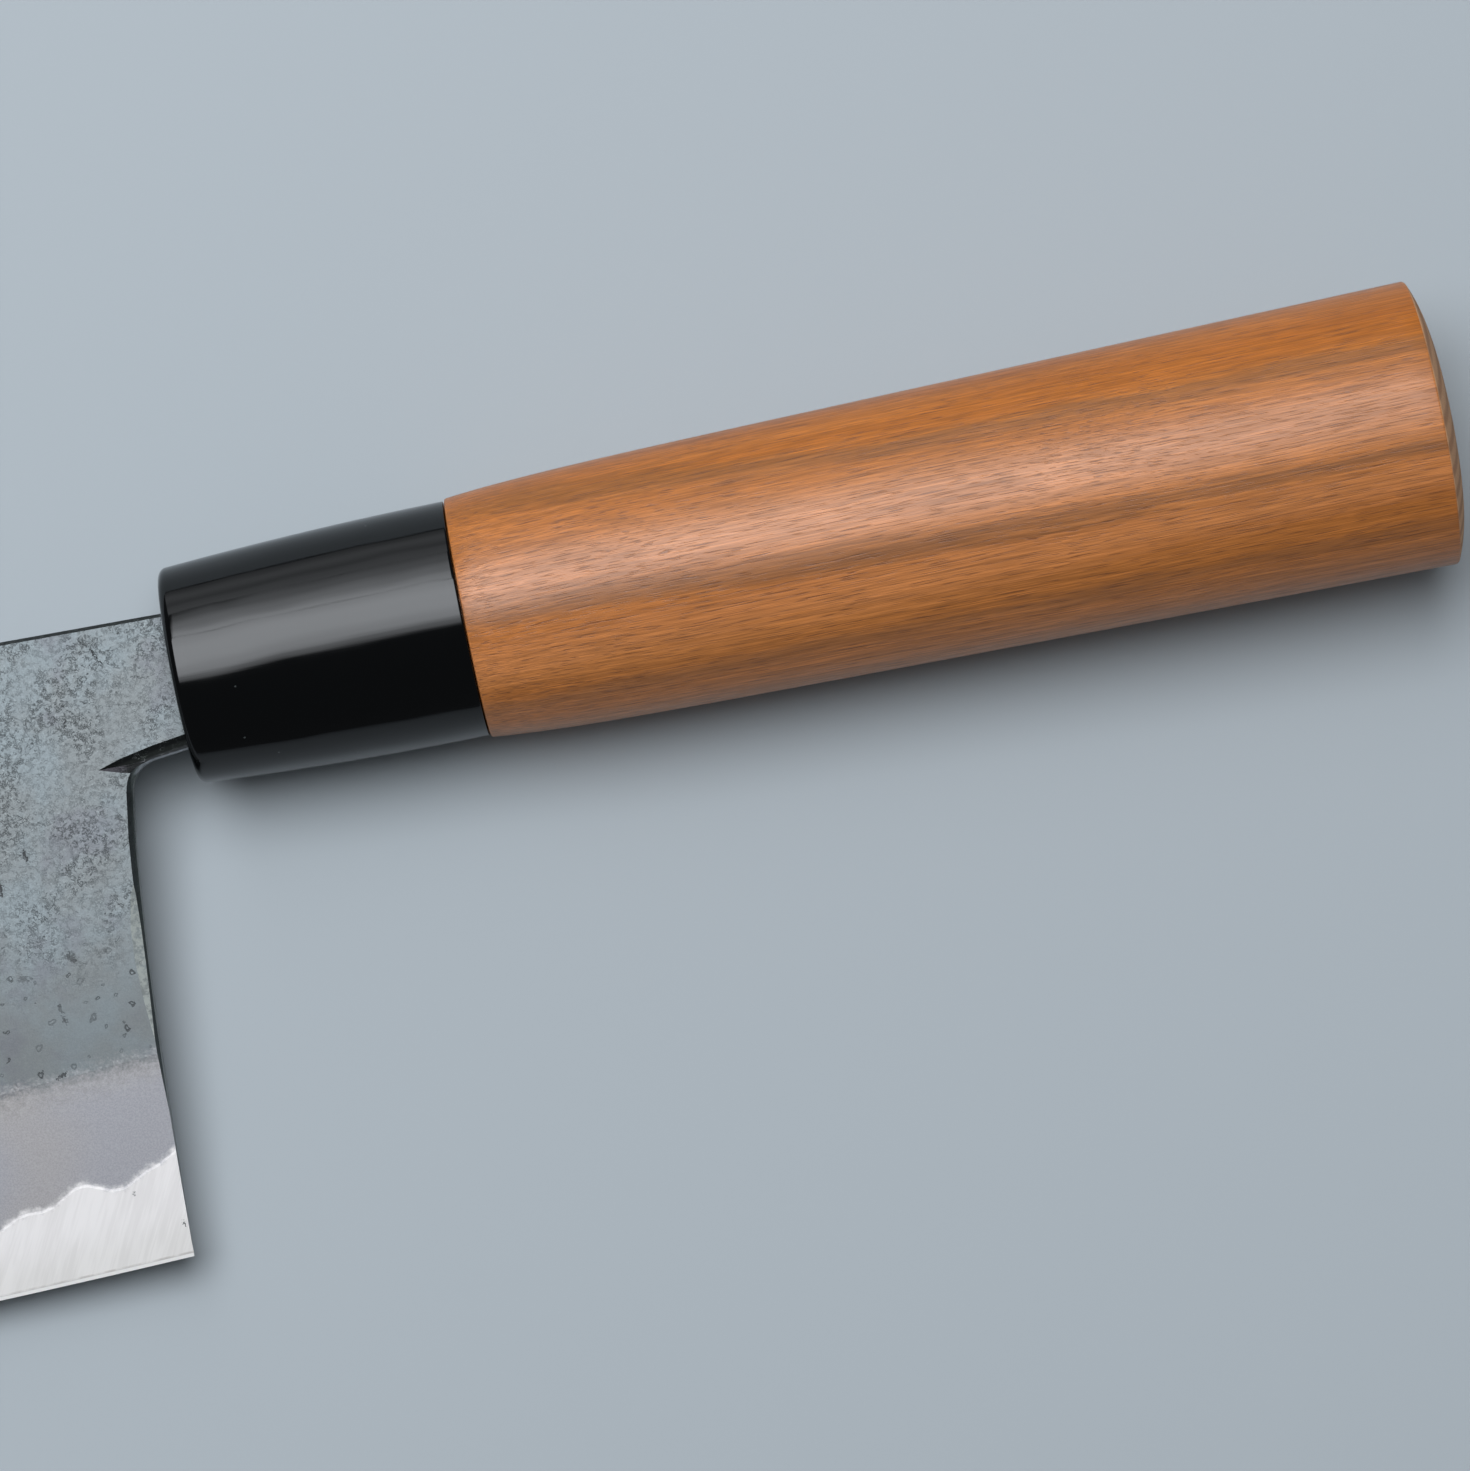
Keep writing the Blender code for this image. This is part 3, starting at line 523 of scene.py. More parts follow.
# %% Model the handle
WOOD_FRONT = (12.4 * MM, 10.9 * MM)  # half height and half thickness behind the ferrule
WOOD_BUTT = (14.7 * MM, 12.5 * MM)
SWELL = 0.75 * MM
SWELL_LENGTH = 8.0 * MM
BUTT_ROUNDING = 0.3 * MM
BUTT_TURN = math.radians(72)
BUTT_DOME = 1.57 * MM
BUTT_FULLNESS = 4  # 2 would be a ball's curve, and more is flatter in the middle
DOME_CROWDING = 0.6  # sets the stations closer near the rim
JOINT_ROUNDING = 0.25 * MM
JOINT_CORNER = 0.3 * JOINT_ROUNDING  # the point between the shoulder's flat and the grip
JOINT_GAP = 0.12 * MM
TENON_GAP = 0.3 * MM
TENON_LEAD = 0.8 * MM
GRIP_STEPS = 60
ROUNDING_STEPS = 6
DOME_STEPS = 14

shoulder = ferrule_length + JOINT_GAP
grip_length = HANDLE_LENGTH - shoulder
tenon_start = FERRULE_FRONT_WALL + TENON_GAP


def wood_oval(x, inset=SKIN):
    """A station on the grip: a fast swell behind the ferrule, then a slow straight one."""
    along = x - shoulder
    share = along / grip_length
    swell = SWELL * (1 - math.exp(-along / SWELL_LENGTH))
    full_swell = SWELL * (1 - math.exp(-grip_length / SWELL_LENGTH))
    ends = zip(WOOD_FRONT, WOOD_BUTT)
    height, thickness = (low + swell + (high - low - full_swell) * share - inset for low, high in ends)
    return (x, height, thickness, handle_middle(x))


tenon = [
    socket_oval(tenon_start, TENON_GAP + TENON_LEAD),
    socket_oval(tenon_start + TENON_LEAD, TENON_GAP),
    socket_oval(shoulder, TENON_GAP),
    wood_oval(shoulder, JOINT_ROUNDING),
    wood_oval(shoulder + JOINT_CORNER, JOINT_CORNER),
]
rim = HANDLE_LENGTH - BUTT_ROUNDING
grip_start = shoulder + JOINT_ROUNDING
grip = [wood_oval(grip_start + (rim - grip_start) * i / GRIP_STEPS) for i in range(GRIP_STEPS + 1)]
_, rim_height, rim_thickness, _ = grip[-1]
rounding = []
for i in range(1, ROUNDING_STEPS + 1):
    angle = BUTT_TURN * i / ROUNDING_STEPS
    inset = BUTT_ROUNDING * (1 - math.cos(angle))
    x = rim + BUTT_ROUNDING * math.sin(angle)
    rounding.append((x, rim_height - inset, rim_thickness - inset, handle_middle(x)))
dome_x, dome_height, dome_thickness, _ = rounding[-1]
dome = []
for i in range(1, DOME_STEPS):
    rest = (1 - i / DOME_STEPS) ** DOME_CROWDING
    x = dome_x + (HANDLE_LENGTH + BUTT_DOME - dome_x) * (1 - rest**BUTT_FULLNESS)
    dome.append((x, dome_height * rest, dome_thickness * rest, handle_middle(x)))

stations = tenon + grip + rounding + dome
handle = start_oval("oiled_handle", stations[0])
draw_out(stations)
bpy.ops.mesh.select_all(action="SELECT")
bpy.ops.mesh.normals_make_consistent(inside=False)
bpy.ops.object.mode_set(mode="OBJECT")

# %% [markdown]
# The tang sits in a hole that was burnt into the wood. It is hidden, but it keeps the wood and
# the steel apart, so it is cut as in the real handle: a long block that narrows to its far end.

# %% Cut the hole for the tang
HOLE_START = (3.0 * MM, 7.2 * MM, 2.15 * MM)  # place, half height and half width
HOLE_END = (95.3 * MM, 3.3 * MM, 1.35 * MM)

deselect_all()
bpy.ops.mesh.primitive_cube_add(size=1.0, location=((HOLE_START[0] + HOLE_END[0]) / 2, 0, 0))
hole_cutter = bpy.context.object
hole_cutter.scale = (HOLE_END[0] - HOLE_START[0], 2 * HOLE_START[1], 2 * HOLE_START[2])
bpy.ops.object.transform_apply(location=True, scale=True)
bpy.ops.object.mode_set(mode="EDIT")
pick("FACE", lambda middle, face: near(middle.x, HOLE_END[0]))
narrowing = (1, HOLE_END[1] / HOLE_START[1], HOLE_END[2] / HOLE_START[2])
bpy.ops.transform.resize(value=narrowing, center_override=(HOLE_END[0], 0, 0))
bpy.ops.object.mode_set(mode="OBJECT")
add_modifier(handle, "BOOLEAN", object=hole_cutter, operation="DIFFERENCE", solver="EXACT")
bpy.data.objects.remove(hole_cutter)
finish_piece(handle, "handle")

# %% [markdown]
# ## Black horn
#
# Polished horn is nearly black below a clear gloss, so the finish is in the reflections. Its
# roughness varies a little, and a few specks of dust catch the light. The first centimetre was
# sanded a touch askew: the lamp's reflection is lower there and steps up where the wall turns.
# A bump can do that without a new shape, because it only tips the normal.

# %% Finish the ferrule
HORN_BLACK = (0.0008, 0.001, 0.0012, 1.0)
DUST_GREY = (0.05, 0.055, 0.055, 1.0)
ASKEW = 0.07  # millimetres that the wall rises and falls about its middle near the mouth
ASKEW_END = (5.0, 12.0)  # millimetres behind the mouth


def cells(tree, point, scale, dimensions="3D"):
    """Cells round scattered points: how far the nearest point is, and its three random numbers."""
    inputs = {"Vector": point, "Scale": scale}
    distance = put(tree, "TexVoronoi", inputs, output="Distance", voronoi_dimensions=dimensions)
    return distance, split(tree, distance.node.outputs["Color"])


horn, tree, shader = new_material("black_horn", IOR=1.43)
point = knife_millimetres(tree)
x, y, _ = split(tree, point)
distance, chance = cells(tree, point, 0.3)
dust = calc(tree, "LESS_THAN", distance, 0.035)
dust = times(tree, dust, calc(tree, "GREATER_THAN", chance[0], 0.4))
colour = mix(tree, dust, HORN_BLACK, DUST_GREY)
haze = noise(tree, point, 0.25)
streaks = long_noise(tree, point, (0.05, 2.2, 2.2), detail=2.0)
roughness = soft_step(tree, haze, 0.3, 0.7, 0.045, 0.075)
roughness = calc(tree, "MULTIPLY_ADD", streaks, 0.04, roughness)
sway = long_noise(tree, point, (0.1, 0.16, 0.16), detail=1.0)
near_mouth = soft_step(tree, x, *ASKEW_END, to_low=ASKEW, to_high=0.0)
tilted = times(tree, soft_step(tree, y, 3.5, -3.0, -1.0, 1.0), near_mouth)
height = calc(tree, "MULTIPLY_ADD", sway, 0.12, tilted)
height = calc(tree, "MULTIPLY_ADD", streaks, 0.003, height)
use(tree, shader, Base_Color=colour, Roughness=roughness, Normal=bump(tree, height, MM))
dress(ferrule, horn)

# %% [markdown]
# ## Oiled wood
#
# The wood is a warm orange-brown fruitwood with long, fine fibres. Broad growth bands wander
# slowly along the grip. One pale streak of sapwood and three darker ones of heartwood run along it
# at places of their own. A second pale streak is painted highlight: its middle follows the lamp's
# reflection along the grip. Towards the spine the colour is painted a stronger orange with less
# blue, to take back the bluish sheen that the upper side reflects. The bands are a noise that is
# stretched along the knife. The streaks are lines at a height above the axis, and their borders
# are ragged because the height is shifted by another noise.

# %% Bands and streaks of the wood
WOOD_BANDS = [(0.3, (0.37, 0.118, 0.024)), (0.5, (0.44, 0.149, 0.032)), (0.7, (0.495, 0.18, 0.048))]
# pale wood for the sapwood streak, and for a streak of painted highlight
SAPWOOD_AND_HIGHLIGHT = (0.6, 0.235, 0.085, 1.0)
HEARTWOOD = (0.235, 0.1, 0.04, 1.0)
# Painted: a stronger orange with less blue towards the spine, against the bluish sheen there.
LESS_SHEEN_TINT = (1.03, 0.94, 0.55)

wood, tree, shader = new_material("oiled_wood", IOR=1.47)
point = knife_millimetres(tree)
x, y, _ = split(tree, point)
wander = calc(tree, "SUBTRACT", long_noise(tree, point, (0.016, 0.05, 0.05), detail=2.0), 0.5)
shift = times(tree, wander, 4.0)
grain_point = calc_vector(tree, "ADD", point, put(tree, "CombineXYZ", {"Y": shift, "Z": shift}))
bands = long_noise(tree, grain_point, (0.006, 0.25, 0.16), detail=3.0)
colour = ramp(tree, bands, WOOD_BANDS)
ragged = long_noise(tree, point, (0.09, 2.0, 2.0), detail=5.0, roughness=0.75)
ragged_y = calc(tree, "MULTIPLY_ADD", calc(tree, "SUBTRACT", ragged, 0.5), 4.5, y)
ragged_y = calc(tree, "MULTIPLY_ADD", wander, 1.2, ragged_y)


def streak(tree, height, centre, half_width, strength):
    """How much of a streak lies at a height above the axis. All sizes are millimetres."""
    away = calc(tree, "ABSOLUTE", calc(tree, "SUBTRACT", height, centre))
    inner = times(tree, half_width, 0.2)
    return times(tree, soft_step(tree, away, half_width, inner), strength)


# Painted highlight: a pale streak whose middle follows the lamp's reflection along the grip.
highlight_centre = soft_step(tree, x, 50.0, 80.0, 3.0, 1.2)
highlight_strength = soft_step(tree, x, 90.0, 120.0, 0.5, 0.25)
middle_centre = soft_step(tree, x, 25.0, 85.0, 0.2, -2.1)
middle_width = soft_step(tree, x, 65.0, 110.0, 2.1, 1.3)
middle_strength = soft_step(tree, x, 30.0, 80.0, 0.45, 0.62)
upper_centre = soft_step(tree, x, 35.0, 80.0, 10.6, 8.4)
upper_width = soft_step(tree, x, 35.0, 80.0, 1.9, 1.3)
upper_strength = soft_step(tree, x, 22.0, 40.0, 0.0, 0.62)
for tint, *line in (
    (SAPWOOD_AND_HIGHLIGHT, -4.8, 3.0, 0.5),
    (SAPWOOD_AND_HIGHLIGHT, highlight_centre, 3.2, highlight_strength),
    (HEARTWOOD, middle_centre, middle_width, middle_strength),
    (HEARTWOOD, upper_centre, upper_width, upper_strength),
    (HEARTWOOD, -9.7, 1.1, 0.4),
):
    colour = mix(tree, streak(tree, ragged_y, *line), colour, tint)
# Painted: towards the spine the colour turns a stronger orange with less blue, to take back the bluish
# sheen that the upper side reflects.
less_sheen = calc_vector(tree, "MULTIPLY", colour, LESS_SHEEN_TINT)
colour = mix(tree, soft_step(tree, ragged_y, 7.0, 11.0), colour, less_sheen)
print("the wood's bands and streaks are", len(tree.nodes), "nodes")

# %% [markdown]
# Three finer scales lie on the bands: fibres a few tenths of a millimetre wide, threads a tenth
# wide, and short dark pores. All are the same noise, stretched along the knife by different
# amounts.

# %% Fibres, threads and pores of the wood
PORE_BROWN = (0.13, 0.046, 0.02, 1.0)


def shade(tree, colour, low, high, amount):
    """Makes a colour darker or lighter while the amount goes from 0.3 to 0.7."""
    return scaled(tree, colour, soft_step(tree, amount, 0.3, 0.7, low, high))


fibres = long_noise(tree, grain_point, (0.04, 2.2, 2.2), detail=4.0, roughness=0.65)
threads = long_noise(tree, point, (0.16, 9.0, 9.0), detail=2.0, roughness=0.6)
colour = shade(tree, colour, 0.84, 1.17, fibres)
colour = shade(tree, colour, 0.77, 1.18, threads)
pores = long_noise(tree, grain_point, (0.3, 9.0, 9.0), detail=1.0)
pore = soft_step(tree, pores, 0.58, 0.68)
colour = mix(tree, times(tree, pore, 0.62), colour, PORE_BROWN)
print("with fibres, threads and pores", len(tree.nodes), "nodes")

# %% [markdown]
# The butt cuts through the fibres, so it shows end grain: duller and greyer than the sides, with
# growth rings round a pith that lay outside the grip. It is found by the surface's own direction.

# %% End grain and gloss of the wood
EARLY_WOOD = (0.6, 0.34, 0.19, 1.0)
LATE_WOOD = (0.43, 0.228, 0.125, 1.0)
PITH = (0.0, -34.0, -22.0)  # the middle of the tree, in millimetres
GROWTH_RING = 2.3


def turned_to(tree, direction):
    """How far the surface is turned to a direction: 1 is straight to it and 0 is square to it."""
    surface = put(tree, "NewGeometry", output="Normal")
    return calc_vector(tree, "DOT_PRODUCT", surface, direction, output="Value")


end_grain = soft_step(tree, turned_to(tree, lengthwise), 0.35, 0.65)
cross_point = calc_vector(tree, "MULTIPLY", point, (0, 1, 1))
from_pith = calc_vector(tree, "DISTANCE", cross_point, PITH, output="Value")
from_pith = calc(tree, "MULTIPLY_ADD", wander, 5.0, from_pith)
year = calc(tree, "SINE", times(tree, from_pith, math.tau / GROWTH_RING))
ringed = mix(tree, soft_step(tree, year, -0.6, 1.0), EARLY_WOOD, LATE_WOOD)
colour = mix(tree, end_grain, colour, ringed)
dots = long_noise(tree, point, (0.1, 5.0, 5.0), detail=3.0, roughness=0.7)
colour = shade(tree, colour, 0.93, 1.07, dots)
roughness = soft_step(tree, fibres, 0.3, 0.7, 0.38, 0.3)
roughness = calc(tree, "MULTIPLY_ADD", end_grain, 0.4, roughness)
gloss = soft_step(tree, end_grain, 0.0, 1.0, 0.5, 0.15)
relief = calc(tree, "SUBTRACT", times(tree, threads, 0.6), pore)
use(tree, shader, Base_Color=colour, Roughness=roughness, Specular_IOR_Level=gloss)
use(tree, shader, Normal=bump(tree, relief, 0.02 * MM, 0.5))
dress(handle, wood)

# %% [markdown]
# ## Resin seal
#
# The slot round the tang is filled with dark resin, which sets smooth and slightly dull.

# %% Finish the seal
resin, tree, shader = new_material("dark_resin", Base_Color=(0.012, 0.011, 0.01, 1.0))
point = knife_millimetres(tree)
use(tree, shader, Roughness=soft_step(tree, noise(tree, point, 0.8), 0.3, 0.7, 0.25, 0.4))
dress(frame["nodes"]["tang_seal"], resin)

# %% [markdown]
# ## Places on the blade
#
# Forge scale, ground bevel and bright core lie at heights above the cutting edge, which is one
# long arc. The height is worked out from the knife's x and y, with the same arc as the solid's.
# The line of the core is worked out too, because polishing blurs it over a millimetre, and the
# blur lies on both layers.

# %% Lines on the blade
EDGE_LOW = (-64.05, -59.122)  # millimetres in the knife's directions, as the materials use them
EDGE_RADIUS = 1500.0
HEEL_X = -10.05
BLADE_LENGTH = 165.0
RIDGE_HEIGHTS = (21.0, 16.0)  # at the heel and at the front
CORE_SHOWN = 7.6
CORE_HEEL_RISE = 3.3
CORE_HEEL_FADE = 1.9
CORE_WAVES = ((0.5, 6.95, 1.1), (0.3, 13.1, 7.8), (1.15, 35.0, -1.3))  # height, length, start


def above_edge(tree, x, y):
    """The height above the cutting edge, square to the knife's length."""
    from_low = calc(tree, "SUBTRACT", x, EDGE_LOW[0])
    arc = times(tree, times(tree, from_low, from_low), 0.5 / EDGE_RADIUS)
    return calc(tree, "SUBTRACT", calc(tree, "SUBTRACT", y, EDGE_LOW[1]), arc)


def ridge_height(tree, x):
    """Where the ground bevel ends and the forge scale begins."""
    inputs = {"Value": x, "From Min": HEEL_X, "From Max": HEEL_X - BLADE_LENGTH}
    inputs["To Min"], inputs["To Max"] = RIDGE_HEIGHTS
    return put(tree, "MapRange", inputs)


def core_height(tree, x):
    """Where the bare core ends: a rise at the heel that fades, and three waves."""
    ahead = calc(tree, "MAXIMUM", calc(tree, "SUBTRACT", HEEL_X, x), 0.0)
    fade = calc(tree, "EXPONENT", times(tree, ahead, -1 / CORE_HEEL_FADE))
    line = calc(tree, "MULTIPLY_ADD", fade, CORE_HEEL_RISE, CORE_SHOWN)
    for height, length, start in CORE_WAVES:
        turn = times(tree, calc(tree, "SUBTRACT", ahead, start), math.tau / length)
        line = calc(tree, "MULTIPLY_ADD", calc(tree, "SINE", turn), height, line)
    return line


print("the scale begins", RIDGE_HEIGHTS[0], "mm above the edge at the heel")

# %% [markdown]
# ## Forge scale
#
# The iron keeps the grey scale of the forge fire above the ground bevel. It is smooth in some
# areas and crackled in others, with tracks like those of worms, a few tenths of a millimetre
# long. Low on the face the scale is smoother and darker, and flakes have left small rings. Each
# is one noise or cell pattern with its own mask, so each can be tuned alone. The deepest marks
# are few and stand at places of their own, so they are set one by one as short strokes.

# %% Single marks
DARK_MARKS = (  # start x and y, end x and y, half width in millimetres, strength
    (-9.06, 5.57, -8.3, 4.5, 0.1, 0.75),
    (-8.1, 4.2, -7.32, 2.83, 0.09, 0.85),
    (-12.19, -0.5, -12.1, -0.55, 0.2, 0.95),
    (-10.06, 0.26, -10.0, 0.26, 0.14, 0.7),
    (-12.14, -2.0, -12.26, -2.63, 0.16, 0.8),
    (-8.9, 1.17, -8.29, 1.1, 0.32, 0.35),
    (-5.11, 5.55, -5.0, 5.5, 0.13, 0.7),
    (-10.18, -0.55, -9.42, -0.91, 0.08, 0.6),
    (-8.76, -1.25, -2.87, -2.01, 0.08, 0.3),
    (-4.57, 0.93, -2.97, 0.61, 0.08, 0.5),
    (-18.98, -14.4, -18.82, -15.16, 0.24, 0.9),
    (-21.92, -17.14, -22.02, -18.16, 0.26, 0.8),
    (-16.3, -25.7, -16.1, -26.2, 0.45, 0.6),
    (-18.4, -30.6, -18.1, -32.2, 0.25, 0.45),
    (-20.0, -37.71, -19.07, -37.27, 0.2, 0.75),
    (-21.8, -27.0, -20.9, -27.2, 0.45, 0.4),
    (-10.59, -16.7, -9.27, -17.38, 0.1, 0.35),
    (-14.9, -50.8, -14.7, -50.6, 0.14, 0.5),
    (-10.45, -54.3, -10.3, -54.8, 0.14, 0.8),
)
MARK_BLACK = (0.035, 0.038, 0.04, 1.0)


def stroke(tree, flat_point, start, end, half_width, strength):
    """How much of a short straight mark lies at a point."""
    start, end = Vector((*start, 0)), Vector((*end, 0))
    along = end - start
    from_start = calc_vector(tree, "SUBTRACT", flat_point, start)
    ahead = along / along.length_squared
    share = calc_vector(tree, "DOT_PRODUCT", from_start, ahead, output="Value")
    foot = scaled(tree, along, put(tree, "Clamp", {0: share}))
    away = calc_vector(tree, "DISTANCE", from_start, foot, output="Value")
    return soft_step(tree, away, half_width, half_width * 0.4, 0.0, strength)


def all_marks(tree, point):
    """The strongest of the single marks at a point, with ragged borders."""
    ragged = put(tree, "TexNoise", {"Vector": point, "Scale": 3.5, "Detail": 3.0}, output="Color")
    ragged = calc_vector(tree, "SUBTRACT", ragged, (0.5, 0.5, 0.5))
    moved = calc_vector(tree, "MULTIPLY_ADD", ragged, (1.1, 1.1, 0.0), point)
    flat_point = calc_vector(tree, "MULTIPLY", moved, (1, 1, 0))
    marks = 0.0
    for x0, y0, x1, y1, half_width, strength in DARK_MARKS:
        one = stroke(tree, flat_point, (x0, y0), (x1, y1), half_width, strength)
        marks = calc(tree, "MAXIMUM", marks, one)
    return times(tree, marks, soft_step(tree, split(tree, ragged)[2], -0.16, 0.0, 0.1, 1.25))


print(len(DARK_MARKS), "single marks")

# %% Patterns of the scale
RING_RADIUS = 0.09  # as a share of the cells that hold one ring each
RING_LINE = (0.05, 0.02)  # from the line's middle to where it ends, and to where it is full


def tracks(tree, point, scale, width, gaps):
    """Short thin lines: the middle level of a noise, broken into pieces by another noise."""
    level = noise(tree, point, scale, detail=2.0, roughness=0.6, distortion=0.5)
    away = calc(tree, "ABSOLUTE", calc(tree, "SUBTRACT", level, 0.5))
    broken = soft_step(tree, noise(tree, point, gaps, detail=1.0), 0.48, 0.56)
    return times(tree, soft_step(tree, away, width, width * 0.3), broken)


def rings(tree, point, scale, rarity):
    """Small uneven rings round the middles of some cells, some of them fainter."""
    ragged = calc_vector(tree, "ADD", point, noise(tree, point, 1.6))
    distance, (_, choice, faintness) = cells(tree, ragged, scale, "2D")
    away = calc(tree, "ABSOLUTE", calc(tree, "SUBTRACT", distance, RING_RADIUS))
    line = soft_step(tree, away, *RING_LINE)
    line = times(tree, line, soft_step(tree, faintness, 0.0, 0.8, 0.4))
    return times(tree, line, calc(tree, "GREATER_THAN", choice, rarity))


# %% Colour and relief of the scale
SCALE_COOL = (0.2, 0.232, 0.243, 1.0)
SCALE_WARM = (0.186, 0.203, 0.205, 1.0)
SCALE_PURPLE = (0.158, 0.163, 0.182, 1.0)
SCALE_DARK = (0.035, 0.039, 0.041, 1.0)
FLAKE_PALE = (0.31, 0.345, 0.35, 1.0)
ELSEWHERE = (31.0, 17.0, 5.0)  # moves a pattern, so that it doesn't repeat its neighbour's


def scale_ground(tree, point, elsewhere, crackled, grain):
    """The scale without its marks: clouds of three greys, more mottled where it is crackled."""
    clouds = noise(tree, point, 0.13, detail=5.0, roughness=0.6)
    colour = mix(tree, soft_step(tree, clouds, 0.38, 0.62), SCALE_WARM, SCALE_COOL)
    tinge = noise(tree, elsewhere, 0.12, detail=4.0, roughness=0.6)
    colour = mix(tree, soft_step(tree, tinge, 0.52, 0.66, 0.0, 0.6), colour, SCALE_PURPLE)
    patches = noise(tree, point, 1.7, detail=5.0, roughness=0.72)
    rough = shade(tree, shade(tree, colour, 0.84, 1.14, patches), 0.82, 1.18, grain)
    smooth = shade(tree, colour, 0.94, 1.06, grain)
    return mix(tree, crackled, smooth, rough)


def scale_finish(tree, point, from_ridge):
    """Colour and relief of the forge scale at a height above the bevel's upper line."""
    elsewhere = calc_vector(tree, "ADD", point, ELSEWHERE)
    climb = soft_step(tree, from_ridge, 6.0, 17.0)
    areas = noise(tree, point, 0.2, detail=4.0, roughness=0.6)
    areas = times(tree, soft_step(tree, areas, 0.43, 0.58), climb)
    everywhere = calc(tree, "MULTIPLY_ADD", climb, 0.3, 0.06)
    crackled = calc(tree, "MULTIPLY_ADD", areas, 0.6, everywhere)
    grain = noise(tree, point, 5.0, detail=3.0, roughness=0.75)
    colour = scale_ground(tree, point, elsewhere, crackled, grain)
    colour = scaled(tree, colour, soft_step(tree, from_ridge, 3.0, 18.0, 0.76, 1.0))

    coarse = tracks(tree, point, 2.1, 0.04, 1.2)
    fine = tracks(tree, elsewhere, 3.6, 0.065, 1.5)
    worms = times(tree, calc(tree, "MAXIMUM", coarse, fine), crackled)
    flake = noise(tree, point, 2.3, detail=3.0, roughness=0.7)
    flake = times(tree, soft_step(tree, flake, 0.58, 0.68), crackled)
    distance, chance = cells(tree, point, 0.45)
    chosen = calc(tree, "GREATER_THAN", chance[0], 0.6)
    spot = times(tree, soft_step(tree, distance, 0.07, 0.03), chosen)
    ring = calc(tree, "MAXIMUM", rings(tree, point, 0.36, 0.5), rings(tree, elsewhere, 0.7, 0.78))
    ring = times(tree, ring, soft_step(tree, from_ridge, 16.0, 10.0))
    for mark, strength, tint in (
        (worms, 0.76, SCALE_DARK),
        (flake, 0.7, FLAKE_PALE),
        (spot, 0.7, SCALE_DARK),
        (ring, 0.85, SCALE_DARK),
    ):
        colour = mix(tree, times(tree, mark, strength), colour, tint)
    hollow = calc(tree, "ADD", worms, calc(tree, "ADD", spot, ring))
    relief = calc(tree, "MULTIPLY_ADD", grain, 0.3, times(tree, flake, 0.6))
    return colour, calc(tree, "SUBTRACT", relief, hollow)


# %% [markdown]
# ## Ground bevel and bright core
#
# The bevel was ground and then blasted to an even satin. The hard core below it is polished, with
# scratches that lean as the hand moved over the stone. It is so bright because fine scratches
# spread the light of the whole lamp, so part of its answer is set as diffuse. Above the tiny bevel
# at the edge lies a patchy dark line, which is painted shade of the burr, and near the heel a
# short brown stain.

# %% Bevel and core patterns
SATIN_COOL = (0.333, 0.33, 0.35, 1.0)
SATIN_WARM = (0.35, 0.335, 0.335, 1.0)
SATIN_BROWN = (0.35, 0.335, 0.32, 1.0)
CORE_DULL = ((0.66, 0.635, 0.61, 1.0), (0.72, 0.69, 0.675, 1.0))  # near the edge and above
CORE_BRIGHT = ((0.73, 0.705, 0.68, 1.0), (0.79, 0.76, 0.745, 1.0))
# Painted shade of the burr above the tiny bevel, and the brown stain near the heel.
BURR_SHADE_AND_STAIN = (0.30, 0.26, 0.235, 1.0)
HEEL_STAIN = ((-12.5, -56.9), (-10.3, -57.1), 0.3, 0.4)  # start, end, half width, strength
SCRATCH_LEAN = math.radians(24)


def satin_finish(tree, point, from_ridge):
    """Even grey with a fine sparkle, grainy and browner just below the scale."""
    warmth = noise(tree, point, 0.05, detail=1.0)
    colour = mix(tree, soft_step(tree, warmth, 0.4, 0.6), SATIN_COOL, SATIN_WARM)
    mottle = noise(tree, point, 1.4, detail=4.0, roughness=0.75)
    spotted = mix(tree, 0.5, shade(tree, colour, 0.64, 1.2, mottle), SATIN_BROWN)
    near_scale = soft_step(tree, from_ridge, -3.6, -0.8, 0.0, 0.9)
    colour = mix(tree, near_scale, colour, spotted)
    return shade(tree, colour, 0.9, 1.1, noise(tree, point, 6.0, detail=2.0, roughness=0.7))


def core_finish(tree, point, height):
    """Near-white scratched steel at a height above the edge, and how bright its scratches are."""
    broad = long_noise(tree, point, (0.6, 0.1, 1.0), SCRATCH_LEAN, detail=3.0)
    fine = long_noise(tree, point, (4.5, 0.2, 1.0), SCRATCH_LEAN * 1.15, detail=3.0)
    scratches = calc(tree, "MULTIPLY_ADD", broad, 0.6, times(tree, fine, 0.4))
    scratches = soft_step(tree, scratches, 0.38, 0.62)
    rise = soft_step(tree, height, 1.0, 6.0)
    colour = mix(tree, scratches, mix(tree, rise, *CORE_DULL), mix(tree, rise, *CORE_BRIGHT))
    # A patchy dark line above the tiny bevel: painted shade of the burr.
    below = soft_step(tree, height, 0.66, 0.46)
    burr = times(tree, soft_step(tree, height, 0.34, 0.42), below)
    patchy = noise(tree, point, 0.5, detail=2.0)
    burr = times(tree, burr, soft_step(tree, patchy, 0.4, 0.62, 0.1, 0.5))
    flat_point = calc_vector(tree, "MULTIPLY", point, (1, 1, 0))
    flat_point = calc_vector(tree, "ADD", flat_point, noise(tree, point, 2.0))
    # It joins the short brown stain near the heel, which has the same colour.
    burr = calc(tree, "MAXIMUM", burr, stroke(tree, flat_point, *HEEL_STAIN))
    return mix(tree, burr, colour, BURR_SHADE_AND_STAIN), scratches


